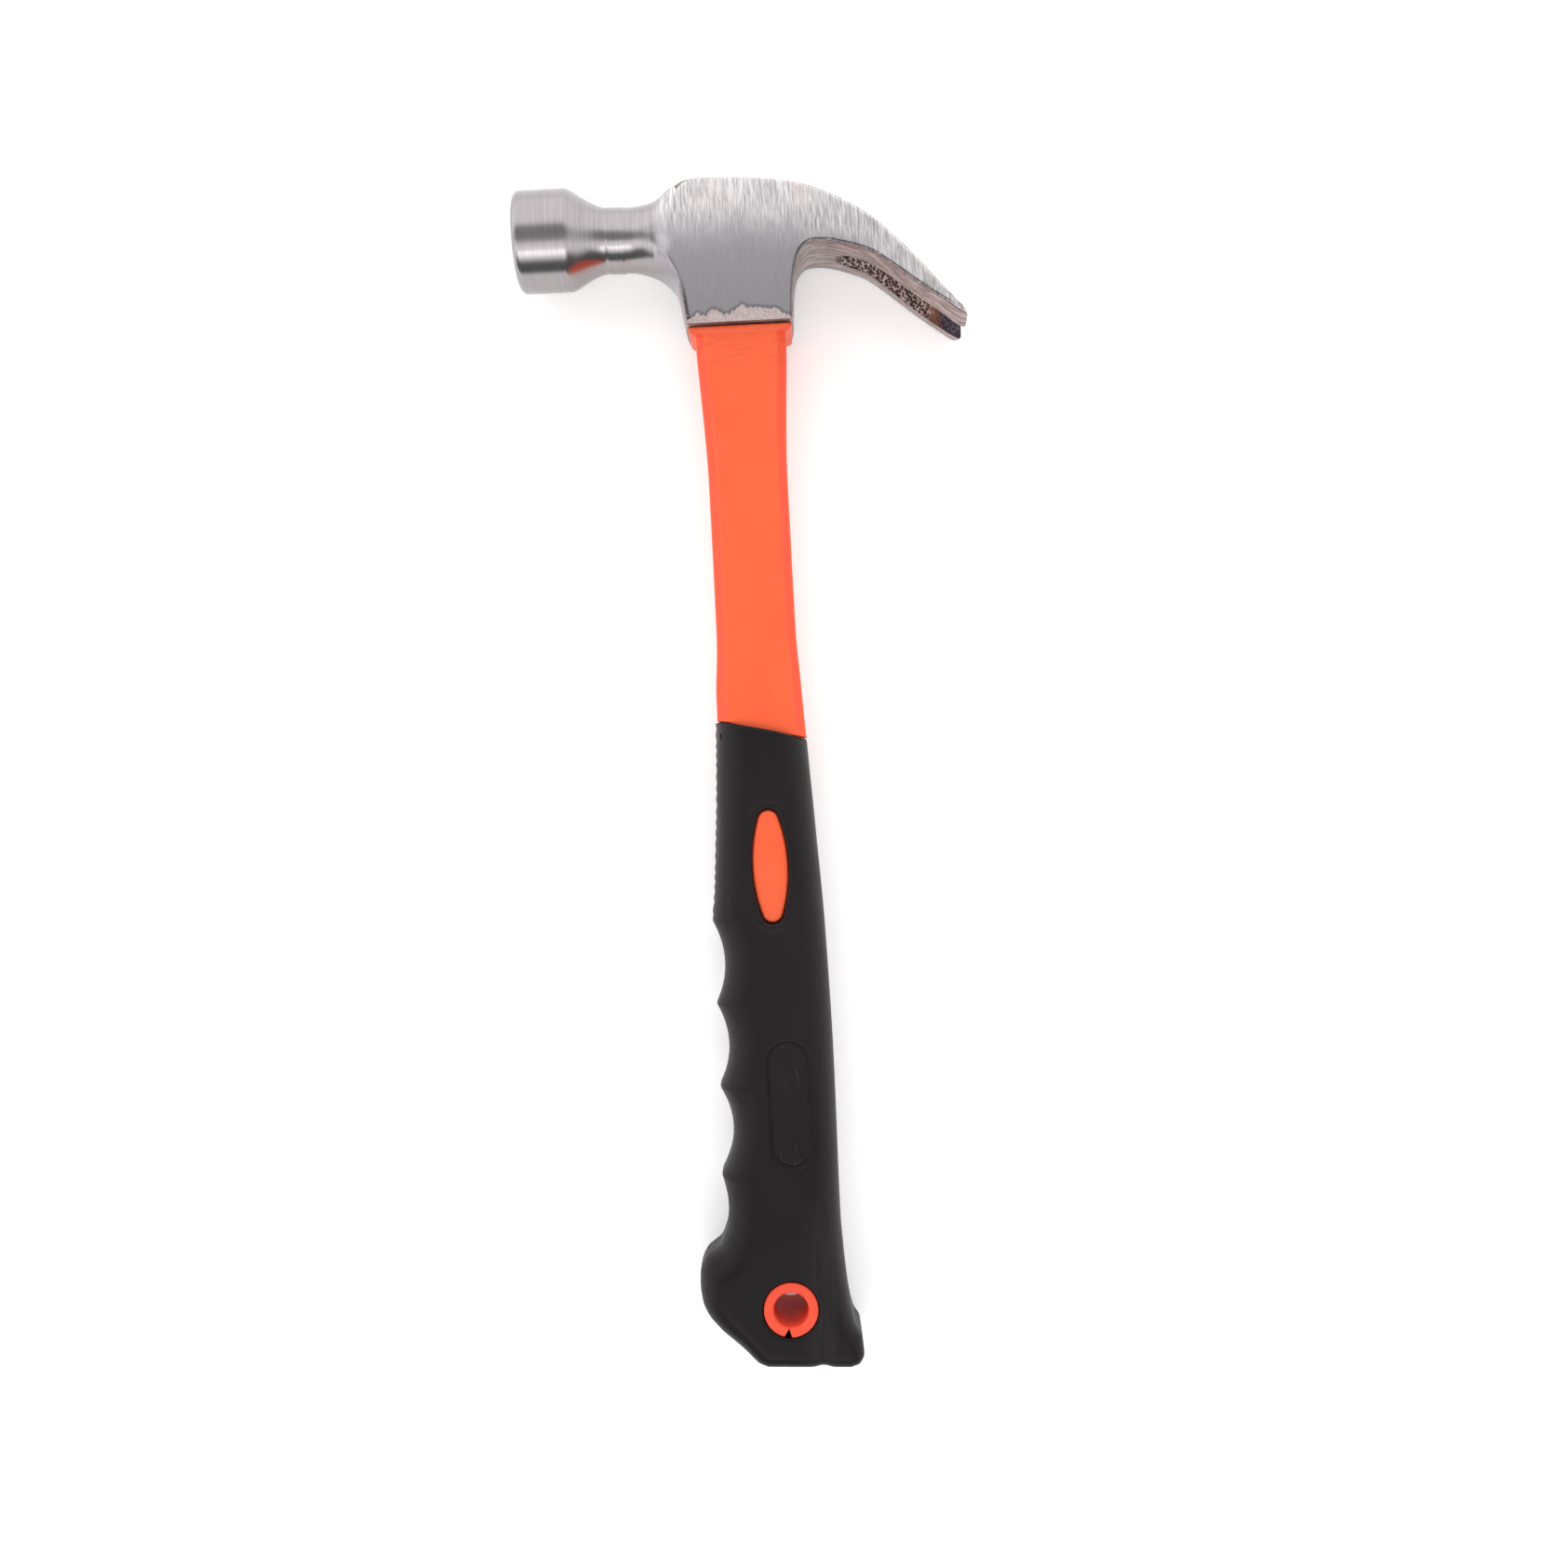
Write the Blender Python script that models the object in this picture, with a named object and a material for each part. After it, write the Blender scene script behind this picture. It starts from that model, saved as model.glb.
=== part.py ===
"""Claw hammer with a forged steel head, a resin-bonded glass-fibre core, an orange jacket and a black grip.

The hammer lies on its side: the handle runs along Y with the head at +Y, the striking face looks
to -X, the claw bends away to +X, and Z is the thickness. Every function works in millimetres from
the hammer's own datum: X = 0 on the handle's axis, Y = 0 at the butt, Z = 0 on the mid-plane.
"""

import math

import bmesh
import bpy
from mathutils import Vector

MM = 0.001
GAP = 0.3  # left between pieces that touch
CUTTER_SPARE = 2.0  # how far a cutter stands out of what it cuts

# Overall
LENGTH = 272.0
FACE_X = -50.6
CLAW_TIP_X = 51.7
HALF_HEIGHT = 12.0  # the butt and the claw tips reach furthest across the thickness

# Head
RIM_Y = 237.0  # the flat lower rim of the eye, where the handle's collar butts
CROWN_Y = 269.9
CHEEK_HALF = 10.0
BELL_RADIUS = 11.5
BELL_BACK_X = -38.6
BELL_AXIS_Y = LENGTH - BELL_RADIUS
FACE_FLAT_RADIUS = 9.5
NECK_AXIS_Y = 259.8
NECK_RADIUS = 7.15
FLARE_LENGTH = 10.6
FORGING_DRAFT = 1.0  # how far the mid-plane stands out past the ground sides
EYE_HALF_X = 8.3
EYE_HALF_Z = 6.0
EYE_CORNER = 2.5
EYE_FLARE = 0.9  # the eye opens this much more each way towards the crown

# Nail slot
SLOT_ROOT_X = 26.4
SLOT_ROOT_Y = 255.4
SLOT_ROOT_HALF = 1.8
SLOT_TIP_HALF = 3.9
SLOT_LENGTH = 40.0
SLOT_SLOPE = math.radians(-38.0)  # how the slot falls along the claw

# Core and resin
CORE_HALF_X = 6.8
CORE_HALF_Z = 4.4
CORE_CORNER = 2.0
CORE_BOTTOM_Y = 28.0
CORE_TOP_Y = 263.4
RESIN_TOP_Y = 268.4

# Jacket
JACKET_BOTTOM_Y = 23.0
JACKET_OFFSET_X = 0.2  # the moulding sits this far to the claw side of the core
JACKET_CHAMFER = 2.3
COLLAR_HEIGHT = 4.2
WINDOW_Y = 114.0
WINDOW_X = 0.6
WINDOW_LENGTH = 25.4
WINDOW_WIDTH = 8.0
WINDOW_FACE_Z = 9.5

# Grip
GRIP_TOP_Y = 145.0  # on the handle's axis; the edge slants
GRIP_TOP_SLANT = math.radians(-14.0)
# Finger grooves: centre along the handle, half length, depth
GROOVES = ((92.2, 9.3, 2.3), (73.5, 9.3, 2.4), (53.7, 9.9, 2.85), (37.0, 6.8, 1.0))
PANEL_X = 2.5
PANEL_Y = 59.9
PANEL_LENGTH = 28.8
PANEL_WIDTH = 10.0
PANEL_GROOVE = 0.9
PANEL_DEPTH = 0.5

# Hang hole
HOLE_X = 0.3
HOLE_Y = 14.4
BUSH_RADIUS = 6.15
BORE_RADIUS = 3.9
BUSH_SPLIT_ANGLE = math.radians(-99.0)
BUSH_SPLIT_HALF = 0.85
BUSH_HALF_LENGTH = 11.85


def interpolate(table, at):
    """Smooth value between the (position, value) pairs of a driving curve, with no overshoot."""
    if at <= table[0][0]:
        return table[0][1]
    if at >= table[-1][0]:
        return table[-1][1]
    after = next(i for i, (position, _) in enumerate(table) if position > at)
    (start, low), (end, high) = table[after - 1], table[after]
    span = end - start
    t = (at - start) / span
    rise = (slope_at(table, after - 1) * span, slope_at(table, after) * span)
    bend = t * t * (3 - 2 * t)
    return low + (high - low) * bend + rise[0] * t * (1 - t) ** 2 - rise[1] * t * t * (1 - t)


def slope_at(table, index):
    """Slope of a driving curve at one of its points: the harmonic mean of the two chords."""
    chords = []
    for first in (index - 1, index):
        if 0 <= first < len(table) - 1:
            (start, low), (end, high) = table[first], table[first + 1]
            chords.append((high - low) / (end - start))
    if len(chords) == 1:
        return chords[0]
    if chords[0] * chords[1] <= 0:
        return 0.0
    return 2 * chords[0] * chords[1] / (chords[0] + chords[1])


def material(name, colour, roughness, metallic=0.0):
    made = bpy.data.materials.new(name)
    made.use_nodes = True
    shader = made.node_tree.nodes["Principled BSDF"]
    shader.inputs["Base Color"].default_value = (*colour, 1.0)
    shader.inputs["Roughness"].default_value = roughness
    shader.inputs["Metallic"].default_value = metallic
    made.diffuse_color = (*colour, 1.0)
    return made


def solid(name, bm, datum, finish=None):
    """One object from a closed bmesh in millimetres. With no finish it is a hidden cutter."""
    bmesh.ops.scale(bm, vec=(MM, MM, MM), verts=bm.verts)
    bmesh.ops.remove_doubles(bm, verts=bm.verts, dist=1e-6)
    bmesh.ops.dissolve_degenerate(bm, edges=bm.edges, dist=1e-6)
    bmesh.ops.recalc_face_normals(bm, faces=bm.faces)
    mesh = bpy.data.meshes.new(name)
    bm.to_mesh(mesh)
    bm.free()
    made = bpy.data.objects.new(name, mesh)
    bpy.context.scene.collection.objects.link(made)
    made.parent = datum
    if finish is None:
        made.hide_render = True
        made.display_type = "WIRE"
    else:
        mesh.materials.append(finish)
        mesh.shade_smooth()
        mesh.set_sharp_from_angle(angle=math.radians(32))
    return made


def loft(rings):
    """A closed bmesh skinned through rings of equal point count, with flat end caps."""
    bm = bmesh.new()
    loops = [[bm.verts.new(point) for point in ring] for ring in rings]
    for lower, upper in zip(loops, loops[1:]):
        for i in range(len(lower)):
            j = (i + 1) % len(lower)
            bm.faces.new((lower[i], lower[j], upper[j], upper[i]))
    bm.faces.new(reversed(loops[0]))
    bm.faces.new(loops[-1])
    return bm


def extrude(outline, direction):
    """A closed bmesh: a flat outline swept along one straight direction."""
    sweep = Vector(direction)
    start = [Vector(point) for point in outline]
    return loft([start, [point + sweep for point in start]])


def boolean(target, cutter, operation="DIFFERENCE"):
    modifier = target.modifiers.new(cutter.name, "BOOLEAN")
    modifier.operation = operation
    modifier.object = cutter
    modifier.solver = "EXACT"


def rounded_rectangle(half_a, half_b, radius_a, radius_b, steps=4, bulge=None):
    """Points round a rectangle with elliptic corners. A bulge adds a middle point to both a ends."""
    points = []
    for sign_a, sign_b, first in ((1, 1, 0), (-1, 1, 1), (-1, -1, 2), (1, -1, 3)):
        for step in range(steps + 1):
            angle = math.pi / 2 * (step / steps + first)
            a = sign_a * (half_a - radius_a) + radius_a * math.cos(angle)
            b = sign_b * (half_b - radius_b) + radius_b * math.sin(angle)
            points.append((a, b))
        if bulge is not None and sign_b > 0 > sign_a:
            points.append((-half_a - bulge, 0.0))
    if bulge is not None:
        points.insert(0, (half_a + bulge, 0.0))
    return points


# ---------------------------------------------------------------- head


def head_section(bottom, top, half_z, round_s, round_z, bulge):
    """A ring across the head between two points of its side outline."""
    bottom = Vector(bottom)
    top = Vector(top)
    centre = (bottom + top) / 2
    along = (top - bottom).normalized()
    half_s = (top - bottom).length / 2
    round_s = min(round_s, half_s)
    ring = []
    for s, z in rounded_rectangle(half_s, half_z, round_s, min(round_z, half_z), 5, bulge):
        at = centre + along * s
        ring.append((at.x, at.y, z))
    return ring


def round_section(x, axis_y, radius):
    return head_section((x, axis_y - radius), (x, axis_y + radius), radius, radius, radius, 0.0)


def head_rings():
    rings = [
        round_section(FACE_X, BELL_AXIS_Y, FACE_FLAT_RADIUS),
        round_section(FACE_X + 0.3, BELL_AXIS_Y, BELL_RADIUS - 0.8),
        round_section(FACE_X + 1.1, BELL_AXIS_Y, BELL_RADIUS - 0.12),
        round_section(FACE_X + 2.3, BELL_AXIS_Y, BELL_RADIUS),
        round_section(BELL_BACK_X, BELL_AXIS_Y, BELL_RADIUS),
    ]
    # The flare falls as a cosine from the bell to the neck.
    for step in range(1, 6):
        t = step / 5
        fall = 0.5 - 0.5 * math.cos(math.pi * t**0.72)
        radius = BELL_RADIUS + (NECK_RADIUS - BELL_RADIUS) * fall
        axis = BELL_AXIS_Y + (NECK_AXIS_Y - BELL_AXIS_Y) * t
        rings.append(round_section(BELL_BACK_X + FLARE_LENGTH * t, axis, radius))
    # The neck swells into the cheek while its section turns from a circle to a rectangle.
    for x, low, high, half_z, round_s, round_z in (
        (-24.2, 252.5, 266.9, 7.4, 7.4, 7.4),
        (-21.2, 252.0, 267.0, 8.1, 7.4, 7.4),
        (-18.7, 251.1, 267.3, 8.9, 7.4, 6.9),
        (-16.5, 249.9, 267.8, 9.7, 6.8, 5.6),
        (-14.9, 248.3, 268.4, CHEEK_HALF, 5.4, 4.2),
        (-13.8, 245.4, 269.0, CHEEK_HALF, 4.0, 2.9),
        (-13.0, 241.4, 269.4, CHEEK_HALF, 2.6, 1.8),
    ):
        rings.append(head_section((x, low), (x, high), half_z, round_s, round_z, 0.0))
    # Straight sections across the cheek, then a fan that turns with the claw.
    for bottom, top, half_z, bulge in (
        ((-12.2, RIM_Y), (-11.7, 269.7), CHEEK_HALF, 0.1),
        ((-6.5, RIM_Y), (-6.5, CROWN_Y), CHEEK_HALF, 0.1),
        ((4.0, RIM_Y), (4.0, 269.4), CHEEK_HALF, 0.1),
        ((12.0, RIM_Y), (12.6, 268.5), CHEEK_HALF, 0.1),
        ((12.6, 244.8), (14.7, 267.9), CHEEK_HALF, 0.4),
        ((13.6, 250.8), (17.2, 267.0), CHEEK_HALF, 0.8),
        ((15.2, 253.9), (19.9, 266.0), CHEEK_HALF, FORGING_DRAFT),
        ((18.2, 254.9), (22.7, 264.6), 10.1, FORGING_DRAFT),
        ((22.3, 254.6), (26.7, 262.2), 10.3, FORGING_DRAFT),
        ((27.0, 253.1), (31.1, 259.0), 10.6, FORGING_DRAFT),
        ((30.9, 251.0), (34.8, 255.7), 10.9, FORGING_DRAFT),
        ((35.1, 247.8), (38.5, 251.5), 11.2, FORGING_DRAFT),
        ((39.3, 244.3), (42.0, 247.5), 11.5, FORGING_DRAFT),
        ((43.4, 240.9), (45.5, 243.3), 11.8, FORGING_DRAFT),
        ((47.2, 238.2), (48.8, 239.5), HALF_HEIGHT, FORGING_DRAFT),
        ((50.4, 235.2), (CLAW_TIP_X - 0.2, 236.1), HALF_HEIGHT - 0.7, 0.4),
    ):
        rings.append(head_section(bottom, top, half_z, 1.0, 0.9, bulge))
    return rings


def eye_ring(y, grow):
    half_x = EYE_HALF_X + grow
    half_z = EYE_HALF_Z + grow
    corner = EYE_CORNER + grow
    outline = rounded_rectangle(half_x, half_z, corner, corner)
    return [(x, y, z) for x, z in outline]


def nail_slot():
    """A tapered cutter with a round root, swept through the claw."""
    along = Vector((math.cos(SLOT_SLOPE), math.sin(SLOT_SLOPE), 0))
    across = Vector((-math.sin(SLOT_SLOPE), math.cos(SLOT_SLOPE), 0))
    root = Vector((SLOT_ROOT_X, SLOT_ROOT_Y, 0)) - across * 14
    outline = []
    for step in range(7):
        angle = math.pi / 2 + math.pi * step / 6
        back = along * (SLOT_ROOT_HALF * math.cos(angle))
        outline.append(root + back + Vector((0, 0, SLOT_ROOT_HALF * math.sin(angle))))
    mouth = root + along * SLOT_LENGTH
    outline.append(mouth + Vector((0, 0, -SLOT_TIP_HALF)))
    outline.append(mouth + Vector((0, 0, SLOT_TIP_HALF)))
    return extrude(outline, across * 28)


def make_head(datum):
    steel = material("forged_steel", (0.42, 0.40, 0.41), 0.32, 1.0)
    head = solid("hammer_head", loft(head_rings()), datum, steel)
    eye = loft([eye_ring(RIM_Y - 2, 0.0), eye_ring(RIM_Y + 12, 0.0), eye_ring(CROWN_Y + 2, EYE_FLARE)])
    boolean(head, solid("eye_cutter", eye, datum))
    boolean(head, solid("nail_slot_cutter", nail_slot(), datum))
    return head


# ---------------------------------------------------------------- core and resin


def core_ring(y, grow=0.0):
    outline = rounded_rectangle(
        CORE_HALF_X + grow, CORE_HALF_Z + grow, CORE_CORNER + grow, CORE_CORNER + grow
    )
    return [(x, y, z) for x, z in outline]


def make_core(datum):
    glass = material("glass_fibre_core", (0.72, 0.68, 0.50), 0.55)
    return solid("fibreglass_core", loft([core_ring(CORE_BOTTOM_Y), core_ring(CORE_TOP_Y)]), datum, glass)


def make_resin(datum):
    """The cast that fills the eye round the core and over its end."""
    resin = material("eye_resin", (0.06, 0.05, 0.05), 0.35)
    flare = EYE_FLARE * (RESIN_TOP_Y - RIM_Y - 12) / (CROWN_Y + 2 - RIM_Y - 12)
    body = loft(
        [eye_ring(RIM_Y, -GAP), eye_ring(RIM_Y + 12, -GAP), eye_ring(RESIN_TOP_Y, flare - GAP)]
    )
    cast = solid("eye_resin", body, datum, resin)
    socket = loft([core_ring(RIM_Y - 2, GAP), core_ring(CORE_TOP_Y + GAP, GAP)])
    boolean(cast, solid("core_socket_cutter", socket, datum))
    return cast


# ---------------------------------------------------------------- jacket

JACKET_HALF_WIDTH = (
    (JACKET_BOTTOM_Y, 8.2),
    (58.0, 8.85),
    (118.0, 9.05),
    (136.0, 9.25),
    (150.0, 9.9),
    (168.0, 9.1),
    (201.0, 9.05),
    (232.3, 10.35),
)
JACKET_HALF_THICKNESS = (
    (JACKET_BOTTOM_Y, 6.4),
    (58.0, 6.8),
    (148.0, 7.2),
    (178.0, 7.0),
    (232.3, 7.8),
)


def jacket_ring(y, grow=0.0, wider=0.0):
    """An eight-sided section: a rectangle with its four long edges cut at 45 degrees."""
    half_x = interpolate(JACKET_HALF_WIDTH, y) + grow + wider
    half_z = interpolate(JACKET_HALF_THICKNESS, y) + grow + wider * 0.8
    cut = JACKET_CHAMFER + grow * (2 - math.sqrt(2))
    corners = (
        (half_x, half_z - cut),
        (half_x - cut, half_z),
        (cut - half_x, half_z),
        (-half_x, half_z - cut),
        (-half_x, cut - half_z),
        (cut - half_x, -half_z),
        (half_x - cut, -half_z),
        (half_x, cut - half_z),
    )
    return [(JACKET_OFFSET_X + x, y, z) for x, z in corners]


def jacket_stations(top):
    stations = [JACKET_BOTTOM_Y]
    count = 24
    for step in range(1, count + 1):
        stations.append(JACKET_BOTTOM_Y + (top - JACKET_BOTTOM_Y) * step / count)
    return stations


def lens(length, width, centre_x, centre_y, grow=0.0, steps=12):
    """A long oval with blunt round ends, from a superellipse."""
    outline = []
    for step in range(2 * steps):
        angle = math.pi * step / steps
        x = math.copysign(abs(math.cos(angle)) ** 1.12, math.cos(angle))
        y = math.copysign(abs(math.sin(angle)) ** 0.86, math.sin(angle))
        outline.append((centre_x + x * (width / 2 + grow), centre_y + y * (length / 2 + grow)))
    return outline


def make_jacket(datum):
    orange = material("orange_polypropylene", (0.90, 0.14, 0.045), 0.42)
    shoulder = RIM_Y - GAP
    collar_foot = shoulder - COLLAR_HEIGHT
    rings = [jacket_ring(y) for y in jacket_stations(collar_foot)]
    rings.append([(x, y + 2.0, z) for x, y, z in jacket_ring(collar_foot, wider=0.35)])
    rings.append([(x, y + COLLAR_HEIGHT, z) for x, y, z in jacket_ring(collar_foot, wider=0.6)])
    jacket = solid("handle_jacket", loft(rings), datum, orange)
    outline = [(x, y, -WINDOW_FACE_Z) for x, y in lens(WINDOW_LENGTH, WINDOW_WIDTH, WINDOW_X, WINDOW_Y)]
    pad = solid("window_pad", extrude(outline, (0, 0, 2 * WINDOW_FACE_Z)), datum)
    boolean(jacket, pad, "UNION")
    bore = loft([core_ring(CORE_BOTTOM_Y - GAP, GAP), core_ring(RIM_Y + 2, GAP)])
    boolean(jacket, solid("core_bore_cutter", bore, datum))
    return jacket


# ---------------------------------------------------------------- grip

GRIP_LEFT = (
    (0.0, 5.6),
    (0.7, 7.4),
    (1.6, 8.4),
    (4.0, 10.5),
    (7.0, 13.4),
    (9.8, 16.1),
    (12.6, 18.4),
    (15.6, 19.7),
    (19.0, 20.1),
    (21.8, 20.0),
    (24.9, 18.7),
    (28.0, 15.0),
    (31.1, 13.9),
    (36.0, 13.8),
    (43.9, 14.0),
    (63.2, 13.3),
    (82.4, 13.2),
    (101.5, 13.1),
    (107.8, 12.4),
    (117.3, 11.7),
    (130.1, 10.8),
    (147.9, 10.3),
)
GRIP_RIGHT = (
    (0.0, 13.2),
    (0.7, 15.3),
    (2.7, 16.4),
    (5.9, 16.2),
    (9.1, 14.7),
    (15.4, 13.7),
    (25.0, 13.0),
    (34.0, 12.7),
    (70.0, 13.0),
    (98.0, 12.6),
    (123.0, 11.5),
    (147.9, 10.4),
)
GRIP_THICK = (
    (0.0, 9.8),
    (0.7, 11.2),
    (3.0, HALF_HEIGHT),
    (26.0, HALF_HEIGHT),
    (48.0, 11.2),
    (83.0, 10.7),
    (114.0, 10.1),
    (147.9, 8.9),
)
GRIP_EDGE = ((0.0, 3.6), (7.0, 5.2), (24.0, 8.6))  # how far the long edges are rounded down the thickness
BUTT_TILT = 0.05  # the butt rises this much per millimetre towards the finger side
BUTT_TILT_FADE_Y = 9.0


def grip_left(y):
    """Distance of the finger side from the axis: a smooth swell less four scooped finger grooves."""
    reach = interpolate(GRIP_LEFT, y)
    for centre, half, depth in GROOVES:
        away = (y - centre) / half
        if abs(away) < 1:
            reach -= depth * (1 - away * away)
    return reach


def grip_ring(y):
    left = grip_left(y)
    right = interpolate(GRIP_RIGHT, y)
    half_z = interpolate(GRIP_THICK, y)
    centre = (right - left) / 2
    half_x = (right + left) / 2
    tilt = BUTT_TILT * max(0.0, 1 - y / BUTT_TILT_FADE_Y)
    edge = interpolate(GRIP_EDGE, y)
    outline = rounded_rectangle(half_x, half_z, min(edge, 6.6), edge, 5)
    return [(centre + x, y + tilt * (half_x - x), z) for x, z in outline]


def grip_stations():
    stations = [0.0, 0.7, 1.6, 3.0, 5.5, 9.0, 12.5, 16.0, 19.5, 22.5, 25.5, 28.5]
    edges = [32.0]
    for centre, half, _ in reversed(GROOVES):
        edges.extend((centre - half / 3, centre + half / 3, centre + half))
    stations.extend(edges)
    stations.extend((112.0, 120.0, 130.0, 140.0, 152.0))
    return stations


def stadium(length, width, centre_x, centre_y, steps=6):
    """A slot shape with two half-round ends, long along Y."""
    radius = width / 2
    outline = []
    for end, start in ((1, 0.0), (-1, math.pi)):
        for step in range(steps + 1):
            angle = start + math.pi * step / steps
            y = centre_y + end * (length / 2 - radius) + radius * math.sin(angle)
            outline.append((centre_x + radius * math.cos(angle), y))
    return outline


def circle(radius, centre_x, centre_y, steps=28):
    outline = []
    for step in range(steps):
        angle = 2 * math.pi * step / steps
        outline.append((centre_x + radius * math.cos(angle), centre_y + radius * math.sin(angle)))
    return outline


def through(name, outline, datum):
    """A cutter that runs the given outline right through the thickness."""
    points = [(x, y, -HALF_HEIGHT - 2) for x, y in outline]
    return solid(name, extrude(points, (0, 0, 2 * HALF_HEIGHT + 4)), datum)


def panel_groove(side, datum):
    """A ring-shaped cutter for the shallow groove round the blank panel on one side."""
    surface = interpolate(GRIP_THICK, PANEL_Y)
    floor = side * (surface - PANEL_DEPTH)
    lid = side * (surface + CUTTER_SPARE)
    outer = stadium(PANEL_LENGTH, PANEL_WIDTH, PANEL_X, PANEL_Y)
    inner = stadium(PANEL_LENGTH - 2 * PANEL_GROOVE, PANEL_WIDTH - 2 * PANEL_GROOVE, PANEL_X, PANEL_Y)
    bm = bmesh.new()
    rings = [
        [bm.verts.new((x, y, z)) for x, y in outline]
        for outline, z in ((outer, floor), (outer, lid), (inner, lid), (inner, floor))
    ]
    for first, second in zip(rings, rings[1:] + rings[:1]):
        for i in range(len(first)):
            j = (i + 1) % len(first)
            bm.faces.new((first[i], first[j], second[j], second[i]))
    return solid("panel_groove_cutter", bm, datum)


def make_grip(datum):
    rubber = material("black_rubber", (0.022, 0.020, 0.022), 0.55)
    grip = solid("grip", loft([grip_ring(y) for y in grip_stations()]), datum, rubber)

    slope = math.tan(GRIP_TOP_SLANT)
    reach = 20.0
    edge = [
        (-reach, GRIP_TOP_Y - reach * slope, -reach),
        (reach, GRIP_TOP_Y + reach * slope, -reach),
        (reach, GRIP_TOP_Y + reach, -reach),
        (-reach, GRIP_TOP_Y + reach, -reach),
    ]
    boolean(grip, solid("top_edge_cutter", extrude(edge, (0, 0, 2 * reach)), datum))

    stations = jacket_stations(RIM_Y - GAP - COLLAR_HEIGHT)
    cavity = [jacket_ring(y, grow=GAP) for y in stations if y < GRIP_TOP_Y + 20]
    cavity[0] = [(x, y - GAP, z) for x, y, z in cavity[0]]
    boolean(grip, solid("jacket_cavity_cutter", loft(cavity), datum))

    window = lens(WINDOW_LENGTH, WINDOW_WIDTH, WINDOW_X, WINDOW_Y, grow=GAP)
    boolean(grip, through("window_cutter", window, datum))
    bush = circle(BUSH_RADIUS + GAP, HOLE_X, HOLE_Y)
    boolean(grip, through("bush_seat_cutter", bush, datum))
    for side in (-1, 1):
        boolean(grip, panel_groove(side, datum))
    return grip


def make_bush(datum):
    """The split bush that lines the hang hole."""
    orange = material("orange_bush", (0.88, 0.12, 0.04), 0.40)
    body = extrude(
        [(x, y, -BUSH_HALF_LENGTH) for x, y in circle(BUSH_RADIUS, HOLE_X, HOLE_Y)],
        (0, 0, 2 * BUSH_HALF_LENGTH),
    )
    bush = solid("hang_hole_bush", body, datum, orange)
    boolean(bush, through("hang_hole_cutter", circle(BORE_RADIUS, HOLE_X, HOLE_Y), datum))
    away = Vector((math.cos(BUSH_SPLIT_ANGLE), math.sin(BUSH_SPLIT_ANGLE)))
    side = Vector((-away.y, away.x))
    centre = Vector((HOLE_X, HOLE_Y))
    split = [
        centre + away * (BORE_RADIUS - 1) + side * 0.25,
        centre + away * (BORE_RADIUS - 1) - side * 0.25,
        centre + away * (BUSH_RADIUS + 1) - side * (BUSH_SPLIT_HALF + 0.25),
        centre + away * (BUSH_RADIUS + 1) + side * (BUSH_SPLIT_HALF + 0.25),
    ]
    boolean(bush, through("bush_split_cutter", [tuple(point) for point in split], datum))
    return bush


def main():
    for leftover in list(bpy.data.objects):
        bpy.data.objects.remove(leftover, do_unlink=True)
    datum = bpy.data.objects.new("hammer_datum", None)
    bpy.context.scene.collection.objects.link(datum)
    datum.location = (-(FACE_X + CLAW_TIP_X) / 2 * MM, -LENGTH / 2 * MM, HALF_HEIGHT * MM)
    make_head(datum)
    make_core(datum)
    make_resin(datum)
    make_jacket(datum)
    make_grip(datum)
    make_bush(datum)


main()
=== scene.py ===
"""Looks of the claw hammer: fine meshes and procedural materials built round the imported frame.

Shapes are worked out in millimetres from the hammer's own datum, as the frame's solids are: X = 0
on the handle's axis, Y = 0 at the butt, Z = 0 on the mid-plane, with the striking face to -X.
"""

import math

import bmesh
import bpy
import numpy as np
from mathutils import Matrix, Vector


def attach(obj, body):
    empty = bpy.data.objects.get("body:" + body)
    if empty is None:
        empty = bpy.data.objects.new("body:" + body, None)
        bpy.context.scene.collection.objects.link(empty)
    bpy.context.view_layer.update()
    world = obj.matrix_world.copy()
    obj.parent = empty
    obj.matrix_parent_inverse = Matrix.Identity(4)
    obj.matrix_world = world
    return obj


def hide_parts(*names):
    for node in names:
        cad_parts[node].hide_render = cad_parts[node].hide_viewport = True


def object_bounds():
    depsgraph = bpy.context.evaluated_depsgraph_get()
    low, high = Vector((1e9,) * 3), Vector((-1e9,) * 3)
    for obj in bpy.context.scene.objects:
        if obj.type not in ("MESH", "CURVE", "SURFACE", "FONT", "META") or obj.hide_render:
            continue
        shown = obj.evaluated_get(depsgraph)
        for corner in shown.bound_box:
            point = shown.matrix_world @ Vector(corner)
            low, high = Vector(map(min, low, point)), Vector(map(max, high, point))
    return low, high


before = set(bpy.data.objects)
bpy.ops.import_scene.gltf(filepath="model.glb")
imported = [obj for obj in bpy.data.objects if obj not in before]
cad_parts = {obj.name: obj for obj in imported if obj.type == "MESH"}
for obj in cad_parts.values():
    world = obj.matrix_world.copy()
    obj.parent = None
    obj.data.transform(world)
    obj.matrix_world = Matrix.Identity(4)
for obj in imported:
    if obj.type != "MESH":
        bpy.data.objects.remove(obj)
cad_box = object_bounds()

MM = 0.001
GAP = 0.3

# Overall
FACE_X = -50.6
CLAW_TIP_X = 51.7
CLAW_MARGIN = 0.04
HALF_HEIGHT = 12.0
INNER_HALF_HEIGHT = HALF_HEIGHT - 0.02
LENGTH = 272.0
ORIGIN = np.array(
    (cad_box[0][0] - FACE_X * MM, cad_box[0][1], (cad_box[0][2] + cad_box[1][2]) / 2)
)

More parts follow.
